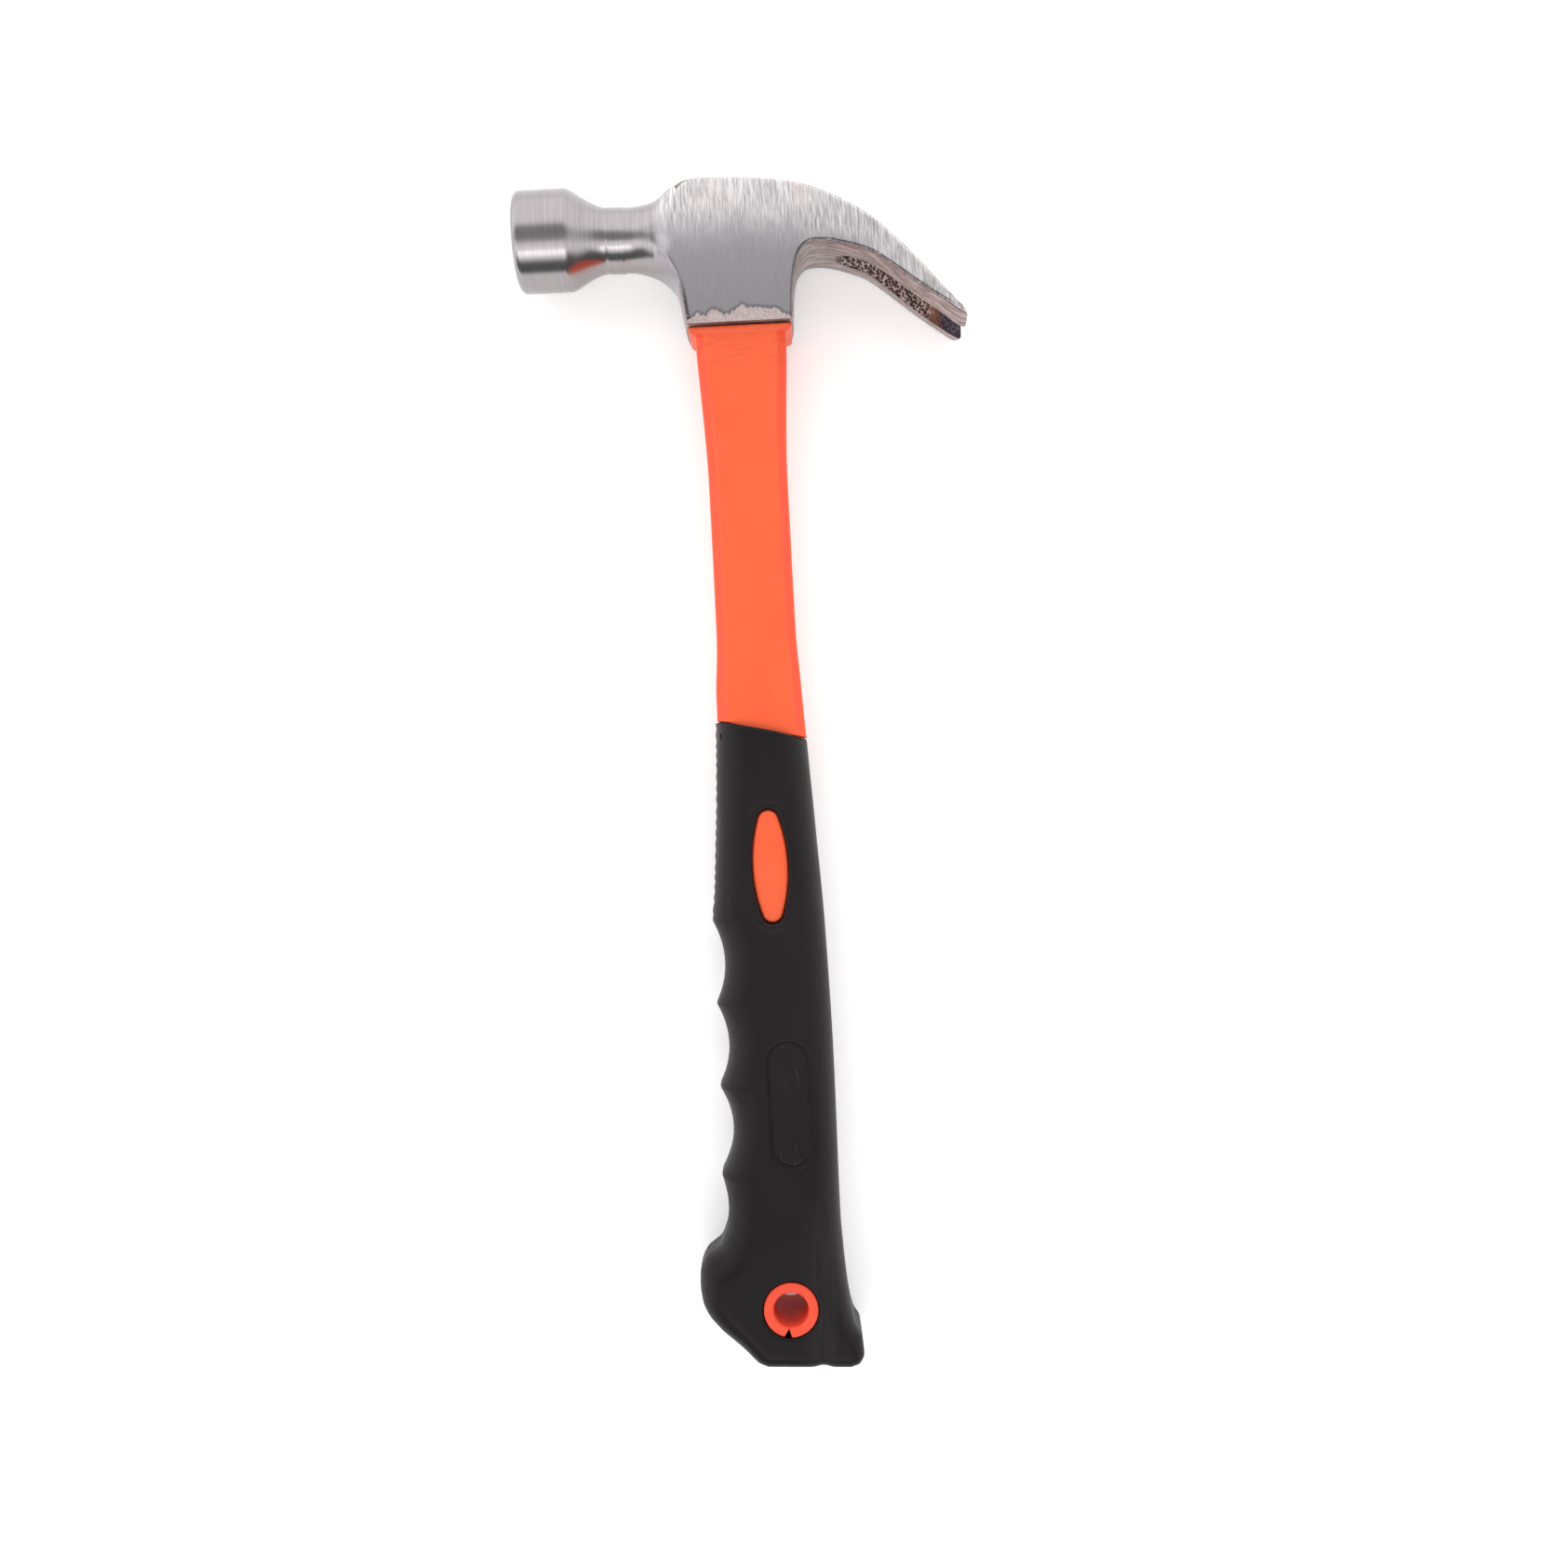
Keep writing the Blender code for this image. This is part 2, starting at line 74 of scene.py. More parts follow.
# Head
RIM_Y = 237.0
BELL_RADIUS = 11.5
BELL_BACK_X = -38.6
BELL_AXIS_Y = LENGTH - BELL_RADIUS
FACE_CORNER = 1.5
FACE_CROWN = 0.3
NECK_AXIS_Y = 259.8
NECK_RADIUS = 7.15
FLARE_LENGTH = 10.6
CHEEK_HALF = 10.0
THROAT_X = 14.0  # where the claw's underside meets the right side
EYE_HALF = (8.3, 6.0)
EYE_CORNER = 2.5
HEAD_CELL = 0.38

# Grip
GRIP_CELL = 0.42
REBATE = 1.5

# Hang hole
HOLE = (0.33, 14.28)
BUSH_RADIUS = 6.15
BORE_RADIUS = 3.9


# ---------------------------------------------------------------- curves and fields


def smooth_table(table, at):
    """Smooth value between the (position, value) pairs of a driving curve, with no overshoot."""
    position, value = np.array(table, float).T
    chord = np.diff(value) / np.diff(position)
    slope = np.empty(len(value))
    slope[0], slope[-1] = chord[0], chord[-1]
    before, after = chord[:-1], chord[1:]
    same = before * after > 0
    total = np.where(same, before + after, 1.0)
    slope[1:-1] = np.where(same, 2 * before * after / total, 0.0)
    at = np.clip(at, position[0], position[-1])
    i = np.clip(np.searchsorted(position, at, side="right") - 1, 0, len(chord) - 1)
    span = position[i + 1] - position[i]
    t = (at - position[i]) / span
    rise = value[i + 1] - value[i]
    return (
        value[i]
        + rise * t * t * (3 - 2 * t)
        + slope[i] * span * t * (1 - t) ** 2
        - slope[i + 1] * span * t * t * (1 - t)
    )


def smoothstep(low, high, at):
    t = np.clip((at - low) / (high - low), 0.0, 1.0)
    return t * t * (3 - 2 * t)


def soft_min(a, b, reach):
    h = np.clip(0.5 + 0.5 * (b - a) / reach, 0.0, 1.0)
    return b + (a - b) * h - reach * h * (1 - h)


def soft_max(a, b, reach):
    return -soft_min(-a, -b, reach)


def rounded_box(a, b, half_a, half_b, corner):
    """Distance to a rectangle with round corners, in two coordinates."""
    over_a = np.abs(a) - half_a + corner
    over_b = np.abs(b) - half_b + corner
    outside = np.hypot(np.maximum(over_a, 0), np.maximum(over_b, 0))
    return outside + np.minimum(np.maximum(over_a, over_b), 0) - corner


def spline(points, step=0.5):
    """Points along a Catmull-Rom curve through the given ones."""
    points = np.array(points, float)
    padded = np.vstack((2 * points[0] - points[1], points, 2 * points[-1] - points[-2]))
    made = []
    for p0, p1, p2, p3 in zip(padded, padded[1:], padded[2:], padded[3:]):
        count = max(2, int(np.linalg.norm(p2 - p1) / step))
        for t in np.arange(count) / count:
            point = 2 * p1 + (p2 - p0) * t + (2 * p0 - 5 * p1 + 4 * p2 - p3) * t**2
            made.append(0.5 * (point + (3 * p1 - p0 - 3 * p2 + p3) * t**3))
    made.append(points[-1])
    return np.array(made)


class Outline:
    """Signed distance to a closed outline in the XY plane, held on a fine grid."""

    def __init__(self, points, step=0.25, margin=3.0):
        self.step = step
        self.low = points.min(0) - margin
        size = np.ceil((points.max(0) + margin - self.low) / step).astype(int) + 1
        x = self.low[0] + step * np.arange(size[0])
        y = self.low[1] + step * np.arange(size[1])
        grid_x, grid_y = np.meshgrid(x, y, indexing="ij")
        nearest = np.full(grid_x.shape, np.inf)
        inside = np.zeros(grid_x.shape, bool)
        for (ax, ay), (bx, by) in zip(points, np.roll(points, -1, axis=0)):
            dx, dy = bx - ax, by - ay
            length = dx * dx + dy * dy
            if length < 1e-12:
                continue
            t = np.clip(((grid_x - ax) * dx + (grid_y - ay) * dy) / length, 0, 1)
            away = (grid_x - ax - t * dx) ** 2 + (grid_y - ay - t * dy) ** 2
            nearest = np.minimum(nearest, away)
            if ay != by:
                crosses = (ay > grid_y) != (by > grid_y)
                inside ^= crosses & (grid_x < dx * (grid_y - ay) / dy + ax)
        self.value = np.where(inside, -1, 1) * np.sqrt(nearest)

    def __call__(self, x, y):
        u = np.clip((x - self.low[0]) / self.step, 0, self.value.shape[0] - 1.001)
        v = np.clip((y - self.low[1]) / self.step, 0, self.value.shape[1] - 1.001)
        i, j = u.astype(int), v.astype(int)
        u, v = u - i, v - j
        low = self.value[i, j] * (1 - v) + self.value[i, j + 1] * v
        high = self.value[i + 1, j] * (1 - v) + self.value[i + 1, j + 1] * v
        return low * (1 - u) + high * u


class Noise:
    """Smooth repeatable noise from -1 to 1 in three coordinates, each an array or a number."""

    def __init__(self, seed, size=32):
        self.size = size
        self.value = np.random.default_rng(seed).uniform(-1, 1, (size,) * 3)

    def __call__(self, x, y, z):
        cells = []
        for at in (x, y, z):
            whole = np.floor(at).astype(int)
            t = at - whole
            cells.append((whole % self.size, (whole + 1) % self.size, t * t * (3 - 2 * t)))
        (x0, x1, u), (y0, y1, v), (z0, z1, w) = cells
        found = 0.0
        for xi, uu in ((x0, 1 - u), (x1, u)):
            for yi, vv in ((y0, 1 - v), (y1, v)):
                for zi, ww in ((z0, 1 - w), (z1, w)):
                    found = found + self.value[xi, yi, zi] * uu * vv * ww
        return found


def surface_of(field, low, high, cell):
    """(points, quads) where the field is zero, with one point in each cell that it crosses."""
    axes = [np.arange(a, b + cell, cell) for a, b in zip(low, high)]
    value = field(*np.meshgrid(*axes, indexing="ij"))
    inside = value < 0
    cells = tuple(n - 1 for n in value.shape)
    sums = np.zeros((3, cells[0] * cells[1] * cells[2]))
    count = np.zeros(sums.shape[1])
    quads = []
    for axis in range(3):
        side, other = (axis + 1) % 3, (axis + 2) % 3
        lower = [slice(None)] * 3
        upper = [slice(None)] * 3
        lower[axis], upper[axis] = slice(0, -1), slice(1, None)
        lower, upper = tuple(lower), tuple(upper)
        at = np.nonzero(inside[lower] != inside[upper])
        start, end = value[lower][at], value[upper][at]
        point = [axes[a][at[a]] for a in range(3)]
        point[axis] = point[axis] + cell * start / (start - end)
        ring = []
        for back_side, back_other in ((0, 0), (1, 0), (1, 1), (0, 1)):
            place = [np.array(index) for index in at]
            place[side] = place[side] - back_side
            place[other] = place[other] - back_other
            flat = np.ravel_multi_index(tuple(place), cells, mode="clip")
            ring.append(flat)
            count += np.bincount(flat, minlength=len(count))
            for a in range(3):
                sums[a] += np.bincount(flat, point[a], minlength=len(count))
        ring = np.stack(ring, 1)
        turned = start > 0
        ring[turned] = ring[turned][:, ::-1]
        quads.append(ring)
    used = np.nonzero(count)[0]
    number = np.full(len(count), -1)
    number[used] = np.arange(len(used))
    points = (sums[:, used] / count[used]).T
    return settle(points, field, cell), number[np.vstack(quads)]


def settle(points, field, cell, rounds=3):
    """Moves points onto the surface where the field is zero."""
    reach = 0.02
    for _ in range(rounds):
        x, y, z = points.T
        here = field(x, y, z)
        slope = np.stack(
            [
                field(x + reach, y, z) - field(x - reach, y, z),
                field(x, y + reach, z) - field(x, y - reach, z),
                field(x, y, z + reach) - field(x, y, z - reach),
            ],
            1,
        ) / (2 * reach)
        step = (here / np.maximum((slope**2).sum(1), 0.05))[:, None] * slope
        points = points - np.clip(step, -cell / 2, cell / 2)
    return points


def place_object(name, data):
    made = bpy.data.objects.new(name, data)
    bpy.context.scene.collection.objects.link(made)
    return made


def add_marks(mesh, name, marks):
    zone = mesh.color_attributes.new(name, "FLOAT_COLOR", "POINT")
    zone.data.foreach_set("color", np.asarray(marks, np.float32).ravel())


def add_piece(name, points, faces, material, marks=None):
    """A smooth-shaded object from points in millimetres, with an attribute for its zones."""
    mesh = bpy.data.meshes.new(name)
    mesh.from_pydata((np.asarray(points) * MM + ORIGIN).tolist(), [], [tuple(f) for f in faces])
    mesh.validate()
    if marks is not None:
        add_marks(mesh, "zone", marks)
    mesh.shade_smooth()
    mesh.materials.append(material)
    return place_object(name, mesh)


def stand_for(piece, node):
    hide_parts(node)
    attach(piece, "root")


# ---------------------------------------------------------------- head

LEFT_SIDE = (
    (-11.7, 232.0), (-11.75, 237.0), (-12.2, 241.0), (-12.9, 246.0), (-13.8, 250.4),
    (-15.2, 254.0),
)
POLL = (
    (-15.2, 254.0), (-16.4, 258.0), (-16.6, 262.0), (-15.6, 265.6), (-13.8, 268.1),
    (-11.6, 269.5),
)
CLAW_TOP = (
    (-11.6, 269.5), (-8.0, 269.85), (0.0, 269.7), (8.8, 268.9), (16.3, 267.3), (23.6, 263.95),
    (31.0, 259.0), (38.1, 251.9), (45.2, 243.5), (49.7, 238.1), (51.6, 236.2),
)
CLAW_UNDER = (
    (51.75, 235.5), (50.0, 236.35), (47.2, 238.45), (43.4, 241.2), (39.3, 244.4), (35.1, 247.85),
    (30.9, 250.9), (27.0, 252.6), (22.3, 253.95), (19.0, 254.35), (16.6, 254.1), (14.9, 252.85),
    (13.7, 250.6), (12.9, 247.0), (12.4, 243.0), (12.05, 237.0), (12.0, 232.0),
)
NECK = (  # x, lowest y, highest y, half thickness, corner radius
    (-30.0, 252.6, 266.95, 7.15, 7.15),
    (-24.2, 252.5, 266.9, 7.4, 7.1),
    (-21.2, 252.0, 267.0, 8.1, 7.4),
    (-18.7, 251.2, 267.3, 8.9, 7.4),
    (-16.5, 250.3, 267.8, 9.8, 6.4),
    (-14.5, 249.2, 268.3, 10.6, 5.0),
    (-11.0, 246.0, 268.6, 11.2, 4.0),
)
DRAFT_LEFT = ((236.0, 0.5), (243.5, 0.85), (248.0, 1.15), (251.0, 1.9), (256.0, 2.2))
DRAFT_RIGHT = (
    (6.0, 0.4), (13.0, 0.45), (17.0, 0.8), (30.0, 0.7), (36.0, 0.9), (44.0, 1.2), (51.0, 1.4),
)
DRAFT_TOP = 0.2
CLAW_SPREAD = ((THROAT_X, 0.0), (19.0, 0.06), (48.0, 2.0), (53.0, 2.3))
SKIN_TOP = (  # upper edge of the strip that the belt never reached: x, height over the rim
    (-12.2, 0.2), (-10.8, 1.3), (-9.0, 2.1), (-7.4, 1.6), (-6.0, 2.9), (-4.4, 2.6), (-3.4, 1.7),
    (-1.0, 2.4), (0.8, 3.6), (2.4, 3.0), (4.4, 3.3), (6.6, 2.7), (8.2, 2.9), (9.8, 1.7),
    (11.2, 1.2), (12.2, 0.5),
)
SLOT_ROOT = (28.6, 254.0)
SLOT_SLOPE = math.radians(-38.0)
SLOT_HALF_WIDTH = 1.7
HOLLOW = (26.1, 252.6, 0.4)
HOLLOW_RADIUS = 1.7

head_outline = Outline(
    np.vstack((spline(LEFT_SIDE)[:-1], spline(POLL)[:-1], spline(CLAW_TOP), spline(CLAW_UNDER)))
)
grain = Noise(3)


def under_line(x):
    """Height of the claw's inner edge, used to tell the underside from the top."""
    return smooth_table([(px, py) for px, py in sorted(CLAW_UNDER[:13])], x)


def draft(x, y):
    """How far the forged side stands out of the ground face's edge at the mid-plane."""
    left = smooth_table(DRAFT_LEFT, y)
    right = smooth_table(DRAFT_RIGHT, x)
    beside = left + (right - left) * smoothstep(-6.0, 6.0, x)
    under = under_line(np.maximum(x, THROAT_X))
    low_side = 1 - smoothstep(under + 0.5, under + 3.0, y)
    low_side = np.where(x < THROAT_X, 1 - smoothstep(257.0, 264.0, y), low_side)
    return DRAFT_TOP + (beside - DRAFT_TOP) * low_side


def over_skin(x, y):
    """Height above the ragged upper edge of the strip that the grinding belt never reached."""
    lumps = 0.8 * np.sqrt(np.abs(np.sin(2.9 * x + 1.8 * grain(x * 0.7, 9.5, 0.5))))
    fine = 0.25 * grain(x * 2.1, 3.5, 0.5)
    over = y - RIM_Y - smooth_table(SKIN_TOP, x) - lumps - fine
    return over + 0.62 + 0.25 * smoothstep(1.0, 4.0, x)


def ground_half(x, y):
    """Half thickness of the ground sides: flat cheeks, a crowned top, claws that spread."""
    spread = smooth_table(CLAW_SPREAD, x) + 5.0 * (1 - smoothstep(-24.0, -17.5, x))
    fall = 0.0036 * np.maximum(y - 256.5, 0) ** 2 * (1 - smoothstep(14.0, 34.0, x))
    nose = np.minimum(np.maximum(x - 50.1, 0.0) ** 2, 2.6)
    return CHEEK_HALF + spread - fall - nose - 0.18 * (1 - smoothstep(-0.15, 0.1, over_skin(x, y)))


def turned_end(x, y, z):
    """Bell, flare and neck, turned about the head's axis, with a rounded, crowned face."""
    t = np.clip((x - BELL_BACK_X) / FLARE_LENGTH, 0.0, 1.0)
    fall = 0.5 - 0.5 * np.cos(np.pi * t**0.72)
    radius = BELL_RADIUS + (NECK_RADIUS - BELL_RADIUS) * fall
    axis = BELL_AXIS_Y + (NECK_AXIS_Y - BELL_AXIS_Y) * t
    away = np.hypot(y - axis, z)
    front = FACE_X + FACE_CROWN * (away / BELL_RADIUS) ** 2 - x
    side = (away - radius) * (1 - 0.35 * (t > 0) * (t < 0.8))
    corner = np.hypot(np.maximum(front + FACE_CORNER, 0), np.maximum(side + FACE_CORNER, 0))
    body = corner - FACE_CORNER + np.minimum(np.maximum(front, side) + FACE_CORNER, 0)
    return np.maximum(body, x + 26.0)


def neck_swell(x, y, z):
    """The neck growing into the poll, its section turning from a circle to a rounded rectangle."""
    low, high, half_z, corner = (
        smooth_table([(row[0], row[column]) for row in NECK], x) for column in (1, 2, 3, 4)
    )
    half_y = (high - low) / 2
    corner = np.minimum(corner, np.minimum(half_y, half_z) - 0.01)
    section = rounded_box(y - (high + low) / 2, z, half_y, half_z, corner)
    return np.maximum(section, np.maximum(-29.0 - x, x + 9.0))


def root_hollow(x, y, z):
    """The small oval hollow where the slot begins."""
    away = (x - HOLLOW[0]) ** 2 + (y - HOLLOW[1]) ** 2 + (z - HOLLOW[2]) ** 2 / 2.2
    return np.sqrt(away) - HOLLOW_RADIUS


def nail_slot(x, y, z):
    """The V of the claw, bevelled towards its underside, with a round root."""
    along = (x - SLOT_ROOT[0]) * math.cos(SLOT_SLOPE) + (y - SLOT_ROOT[1]) * math.sin(SLOT_SLOPE)
    depth = (y - under_line(x)) * 0.8
    bevel = 0.8 * np.clip(1.9 - depth, 0, 2.9) * (1 - 0.45 * smoothstep(22.0, 30.0, along))
    half = SLOT_HALF_WIDTH + 0.05 * np.clip(along, 0, 40) + bevel
    away = np.where(along < 0, np.hypot(along, z), np.abs(z))
    groove = np.where(x > THROAT_X, away - half, 5.0) * 0.75
    return soft_min(groove, root_hollow(x, y, z), 0.4)


def eye(x, y, z, rounding=0.5):
    """The eye's wall, which widens towards the crown, with its upper edge rounded."""
    flare = 0.9 * smoothstep(RIM_Y + 12, 273.0, y) + rounding * smoothstep(268.6, 270.2, y)
    return rounded_box(x, z, EYE_HALF[0] + flare, EYE_HALF[1] + flare, EYE_CORNER + flare)


def head_field(x, y, z):
    half = ground_half(x, y)
    barrel = draft(x, y) * (1 - np.clip(z / half, -1, 1) ** 2)
    forged = np.maximum(head_outline(x, y) - barrel, np.abs(z) - HALF_HEIGHT - 1.0)
    forged = soft_min(forged, neck_swell(x, y, z), 2.4)
    solid = soft_min(forged, turned_end(x, y, z), 0.8)
    half = np.where(x > -17.5, np.minimum(half, INNER_HALF_HEIGHT), half)
    merge = smoothstep(251.0, 258.0, y) * (1 - smoothstep(-15.0, -8.0, x))
    solid = soft_max(solid, np.abs(z) - half, 0.22 + 2.4 * merge)
    solid = soft_max(solid, np.where(x < 30.0, RIM_Y - y, -5.0), 0.3)
    solid = soft_max(solid, x - CLAW_TIP_X + CLAW_MARGIN, 0.5)
    solid = soft_max(solid, -nail_slot(x, y, z), 0.35)
    return soft_max(solid, -eye(x, y, z), 0.3)


def signed(distance, reach=2.0):
    """A distance in millimetres as a value from 0 to 1 that is 0.5 on the boundary."""
    return 0.5 + np.clip(distance / reach, -1, 1) / 2


def head_marks(x, y, z):
    """Distances to the edges of the zones: ground sides, nail slot, bell's back, ragged strip."""
    below = np.abs(z) - ground_half(x, y)
    below = np.where(x < -13.0, np.maximum(below, -0.05), below)
    slot, bell, strip = nail_slot(x, y, z), signed(x + 17.0, 8.0), over_skin(x, y)
    return np.stack((signed(below), signed(slot), bell, signed(strip)), 1)


def head_finish(x, y, z):
    """How coarsely the sides are ground (the coarser upper part is also painted lighter, as painted
    light), their edge, its low part (where a line of painted shade runs), the way along the slot.
    """
    wander = 2.2 * grain(x * 0.10, y * 0.02 + 3, 0.5) + 0.8 * grain(x * 0.5, y * 0.05, 4.5)
    on_cheek = smoothstep(250.5, 264.0, y + wander)
    throat = under_line(np.clip(x, THROAT_X, 51.0))
    on_claw = 0.25 + 0.75 * smoothstep(-0.5, 4.0, y - throat)
    on_claw = on_claw + (1 - on_claw) * smoothstep(26.0, 34.0, x)
    coarse_and_lit = on_cheek + (np.maximum(on_cheek, on_claw) - on_cheek) * smoothstep(13.0, 18.0, x)
    inner = 1 - smoothstep(CHEEK_HALF - 3.5, CHEEK_HALF - 1.0, np.abs(z))
    coarse_and_lit = coarse_and_lit * (1 - 0.85 * inner * (1 - smoothstep(-13.0, -10.0, x)))
    edge = head_outline(x, y) / np.where(x < 0.0, 3.4, 2.0)
    low_side = smoothstep(0.3, 0.6, draft(x, y) / 0.9) * (1 - smoothstep(46.5, 49.0, x))
    low_side = low_side * np.where(x < 0.0, 1 - smoothstep(242.0, 249.0, y), 1.0)
    oval = np.hypot((x - HOLLOW[0]) / 1.6, (z - 0.6) / 2.6) - 1.0
    oval = np.where(y < throat + 3.0, oval, 1.0)
    from_root = 0.25 * smoothstep(-0.25, 0.25, oval) + 0.75 * smoothstep(42.0, 50.0, x)
    return np.stack((coarse_and_lit, signed(edge, 1.0), low_side, from_root), 1)


def build_head(material):
    low = (FACE_X - 1, RIM_Y - 6, -HALF_HEIGHT - 1)
    high = (CLAW_TIP_X + 1, LENGTH + 1, HALF_HEIGHT + 1)
    points, quads = surface_of(head_field, low, high, HEAD_CELL)
    head = add_piece("forged_head", points, quads, material, head_marks(*points.T))
    add_marks(head.data, "finish", head_finish(*points.T))
    stand_for(head, "hammer_head")
    return head


# ---------------------------------------------------------------- jacket

JACKET_BOTTOM_Y = 23.0
JACKET_AXIS_X = 0.2
JACKET_OFFSET_X = (
    (23.0, JACKET_AXIS_X), (137.0, JACKET_AXIS_X), (143.0, 0.45), (147.0, 0.35),
    (156.0, JACKET_AXIS_X), (237.0, JACKET_AXIS_X),
)
JACKET_CHAMFER = 2.3
COLLAR_HEIGHT = 1.9
JACKET_HALF_WIDTH = (
    (JACKET_BOTTOM_Y, 8.2), (58.0, 8.85), (118.0, 9.05), (136.0, 9.5), (144.0, 10.2),
    (147.5, 10.05), (152.0, 9.9), (168.0, 9.1), (201.0, 9.05), (232.3, 10.35),
)
JACKET_HALF_THICKNESS = (
    (JACKET_BOTTOM_Y, 6.4), (58.0, 6.8), (148.0, 7.2), (178.0, 7.0), (232.3, 7.8),
)
WINDOW = (0.75, 113.85)
WINDOW_LENGTH = 25.4
WINDOW_WIDTH = 7.9
WINDOW_END = 2.3
WINDOW_FACE_Z = 9.5
CORE_HALF = (6.8 + GAP, 4.4 + GAP)
CORE_CORNER = 2.3
CORE_TOP_Y = 263.7


def chamfered_ring(half_x, half_z, cut, fillet=0.55, steps=4, per_side=5):
    """Points round an eight-sided section whose corners are slightly rounded."""
    quarter = [(half_x, half_z - cut), (half_x - cut, half_z)]
    corners = quarter + [(-x, z) for x, z in quarter[::-1]]
    corners += [(-x, -z) for x, z in corners]
    ring = []
    for i, corner in enumerate(corners):
        corner = np.array(corner)
        before = np.array(corners[i - 1])
        after = np.array(corners[(i + 1) % len(corners)])
        start = corner + (before - corner) / np.linalg.norm(before - corner) * fillet
        end = corner + (after - corner) / np.linalg.norm(after - corner) * fillet
        for step in range(steps + 1):
            t = step / steps
            ring.append((1 - t) ** 2 * start + 2 * t * (1 - t) * corner + t * t * end)
        next_start = after + (corner - after) / np.linalg.norm(corner - after) * fillet
        for step in range(1, per_side):
            ring.append(end + (next_start - end) * step / per_side)
    return np.array(ring)


def core_section(count):
    """The bore's rounded rectangle, with as many points as an outer ring, starting at +X."""
    angle = np.linspace(0, 2 * np.pi, count, endpoint=False)
    across, up = np.cos(angle), np.sin(angle)
    scale = np.empty(count)
    for i, (a, b) in enumerate(zip(across, up)):
        low, high = 0.0, 20.0
        for _ in range(40):
            middle = (low + high) / 2
            outside = rounded_box(a * middle, b * middle, *CORE_HALF, CORE_CORNER) > 0
            low, high = (low, middle) if outside else (middle, high)
        scale[i] = low
    return np.stack((across * scale, up * scale), 1)


SEAM = ((-11.0, 147.5), (-9.0, 147.35), (-3.7, 146.3), (3.0, 144.75), (7.0, 143.6), (11.0, 142.5))


def seam(x):
    """Height of the grip's top edge, which slopes down towards the claw's side."""
    return smooth_table(SEAM, x)


def jacket_sizes(y):
    top = RIM_Y - GAP
    collar = smoothstep(top - COLLAR_HEIGHT, top - 0.6, y)
    half_x = smooth_table(JACKET_HALF_WIDTH, y) + 1.45 * collar
    half_z = smooth_table(JACKET_HALF_THICKNESS, y) + 0.48 * collar
    return half_x, half_z


def build_jacket(material):
    """The tube of the jacket, then the two lens-shaped pads that fill the grip's windows."""
    top = RIM_Y - GAP
    stations = list(np.arange(JACKET_BOTTOM_Y, 140.0, 3.0))
    stations += list(np.arange(140.0, 145.0, 0.9)) + list(np.arange(145.1, 145.8, 0.06))
    stations += list(np.arange(146.0, top - 6.0, 0.9))
    stations += list(np.arange(top - 6.0, top - 0.3, 0.3)) + [top - 0.22, top - 0.08, top]
    rings = []
    for y in stations:
        half_x, half_z = jacket_sizes(y)
        half_x = half_x - REBATE * (1 - float(smoothstep(-0.2, 0.05, y - seam(0.0))))
        inward = 0.35 * (1 - math.sqrt(max(0.0, 1 - max(0.0, (y - top + 0.35) / 0.35) ** 2)))
        cut = JACKET_CHAMFER - 1.5 * float(smoothstep(top - COLLAR_HEIGHT, top - 1.0, y))
        ring = chamfered_ring(half_x - inward, half_z - inward, cut, min(0.55, cut / 2))
        x, z = ring.T
        near_top = float(smoothstep(top - COLLAR_HEIGHT - 1, top - 1.5, y))
        lump = 0.16 * grain(x * 0.3 + 5, y * 0.55, z * 0.35) * near_top
        sink = 0.05 * grain(x * 0.12, y * 0.06, z * 0.12 + 4)
        size = np.hypot(x, z)
        swell = 1 + (lump + sink) / size
        x, z = x * swell, z * swell
        x = x + float(smooth_table(JACKET_OFFSET_X, y))
        slope = 1 - float(smoothstep(4.0, 16.0, abs(y - seam(0.0))))
        rings.append(np.stack((x, y + (seam(x) - seam(0.0)) * slope, z), 1))
    inner = core_section(len(rings[0]))
    for y in (top, (top + JACKET_BOTTOM_Y) / 2, JACKET_BOTTOM_Y):
        rings.append(np.stack((inner[:, 0], np.full(len(inner), y), inner[:, 1]), 1))
    count = len(rings[0])
    points = np.vstack(rings)
    faces = []
    for r in range(len(rings)):
        for i in range(count):
            j = (i + 1) % count
            nxt = (r + 1) % len(rings)
            faces.append((r * count + i, nxt * count + i, nxt * count + j, r * count + j))
    jacket = add_piece("shank_jacket", points, faces, material)
    for side in (-1, 1):
        pad = window_pad(side, material)
        join = jacket.modifiers.new(pad.name, "BOOLEAN")
        join.operation = "UNION"
        join.object = pad
        bpy.context.view_layer.update()
        made = bpy.data.meshes.new_from_object(
            jacket.evaluated_get(bpy.context.evaluated_depsgraph_get())
        )
        jacket.modifiers.clear()
        jacket.data = made
        bpy.data.objects.remove(pad)
    jacket.data.shade_smooth()
    jacket.data.set_sharp_from_angle(angle=math.radians(40))
    mark_jacket(jacket.data)
    stand_for(jacket, "handle_jacket")
    return jacket


def mark_jacket(mesh):
    """Stores where the chamfers are, which are painted darker as painted shade, and how near a
    point is to the collar.
    """
    flat = np.empty(3 * len(mesh.vertices), np.float32)
    mesh.vertices.foreach_get("co", flat)
    x, y, z = ((flat.reshape(-1, 3) - ORIGIN) / MM).T
    half_x, half_z = jacket_sizes(y)
    x = np.abs(x - JACKET_AXIS_X)
    out = x + np.abs(z) - half_x - half_z + JACKET_CHAMFER
    level = np.minimum(half_x - x, half_z - np.abs(z))
    shaded_chamfer = smoothstep(-0.5, -0.1, out) * smoothstep(0.15, 0.45, level) * (np.abs(z) < half_z)
    near_top = smoothstep(RIM_Y - 14.0, RIM_Y - 4.0, y)
    add_marks(mesh, "zone", np.stack((shaded_chamfer, near_top, 0 * x, 0 * x + 1), 1))


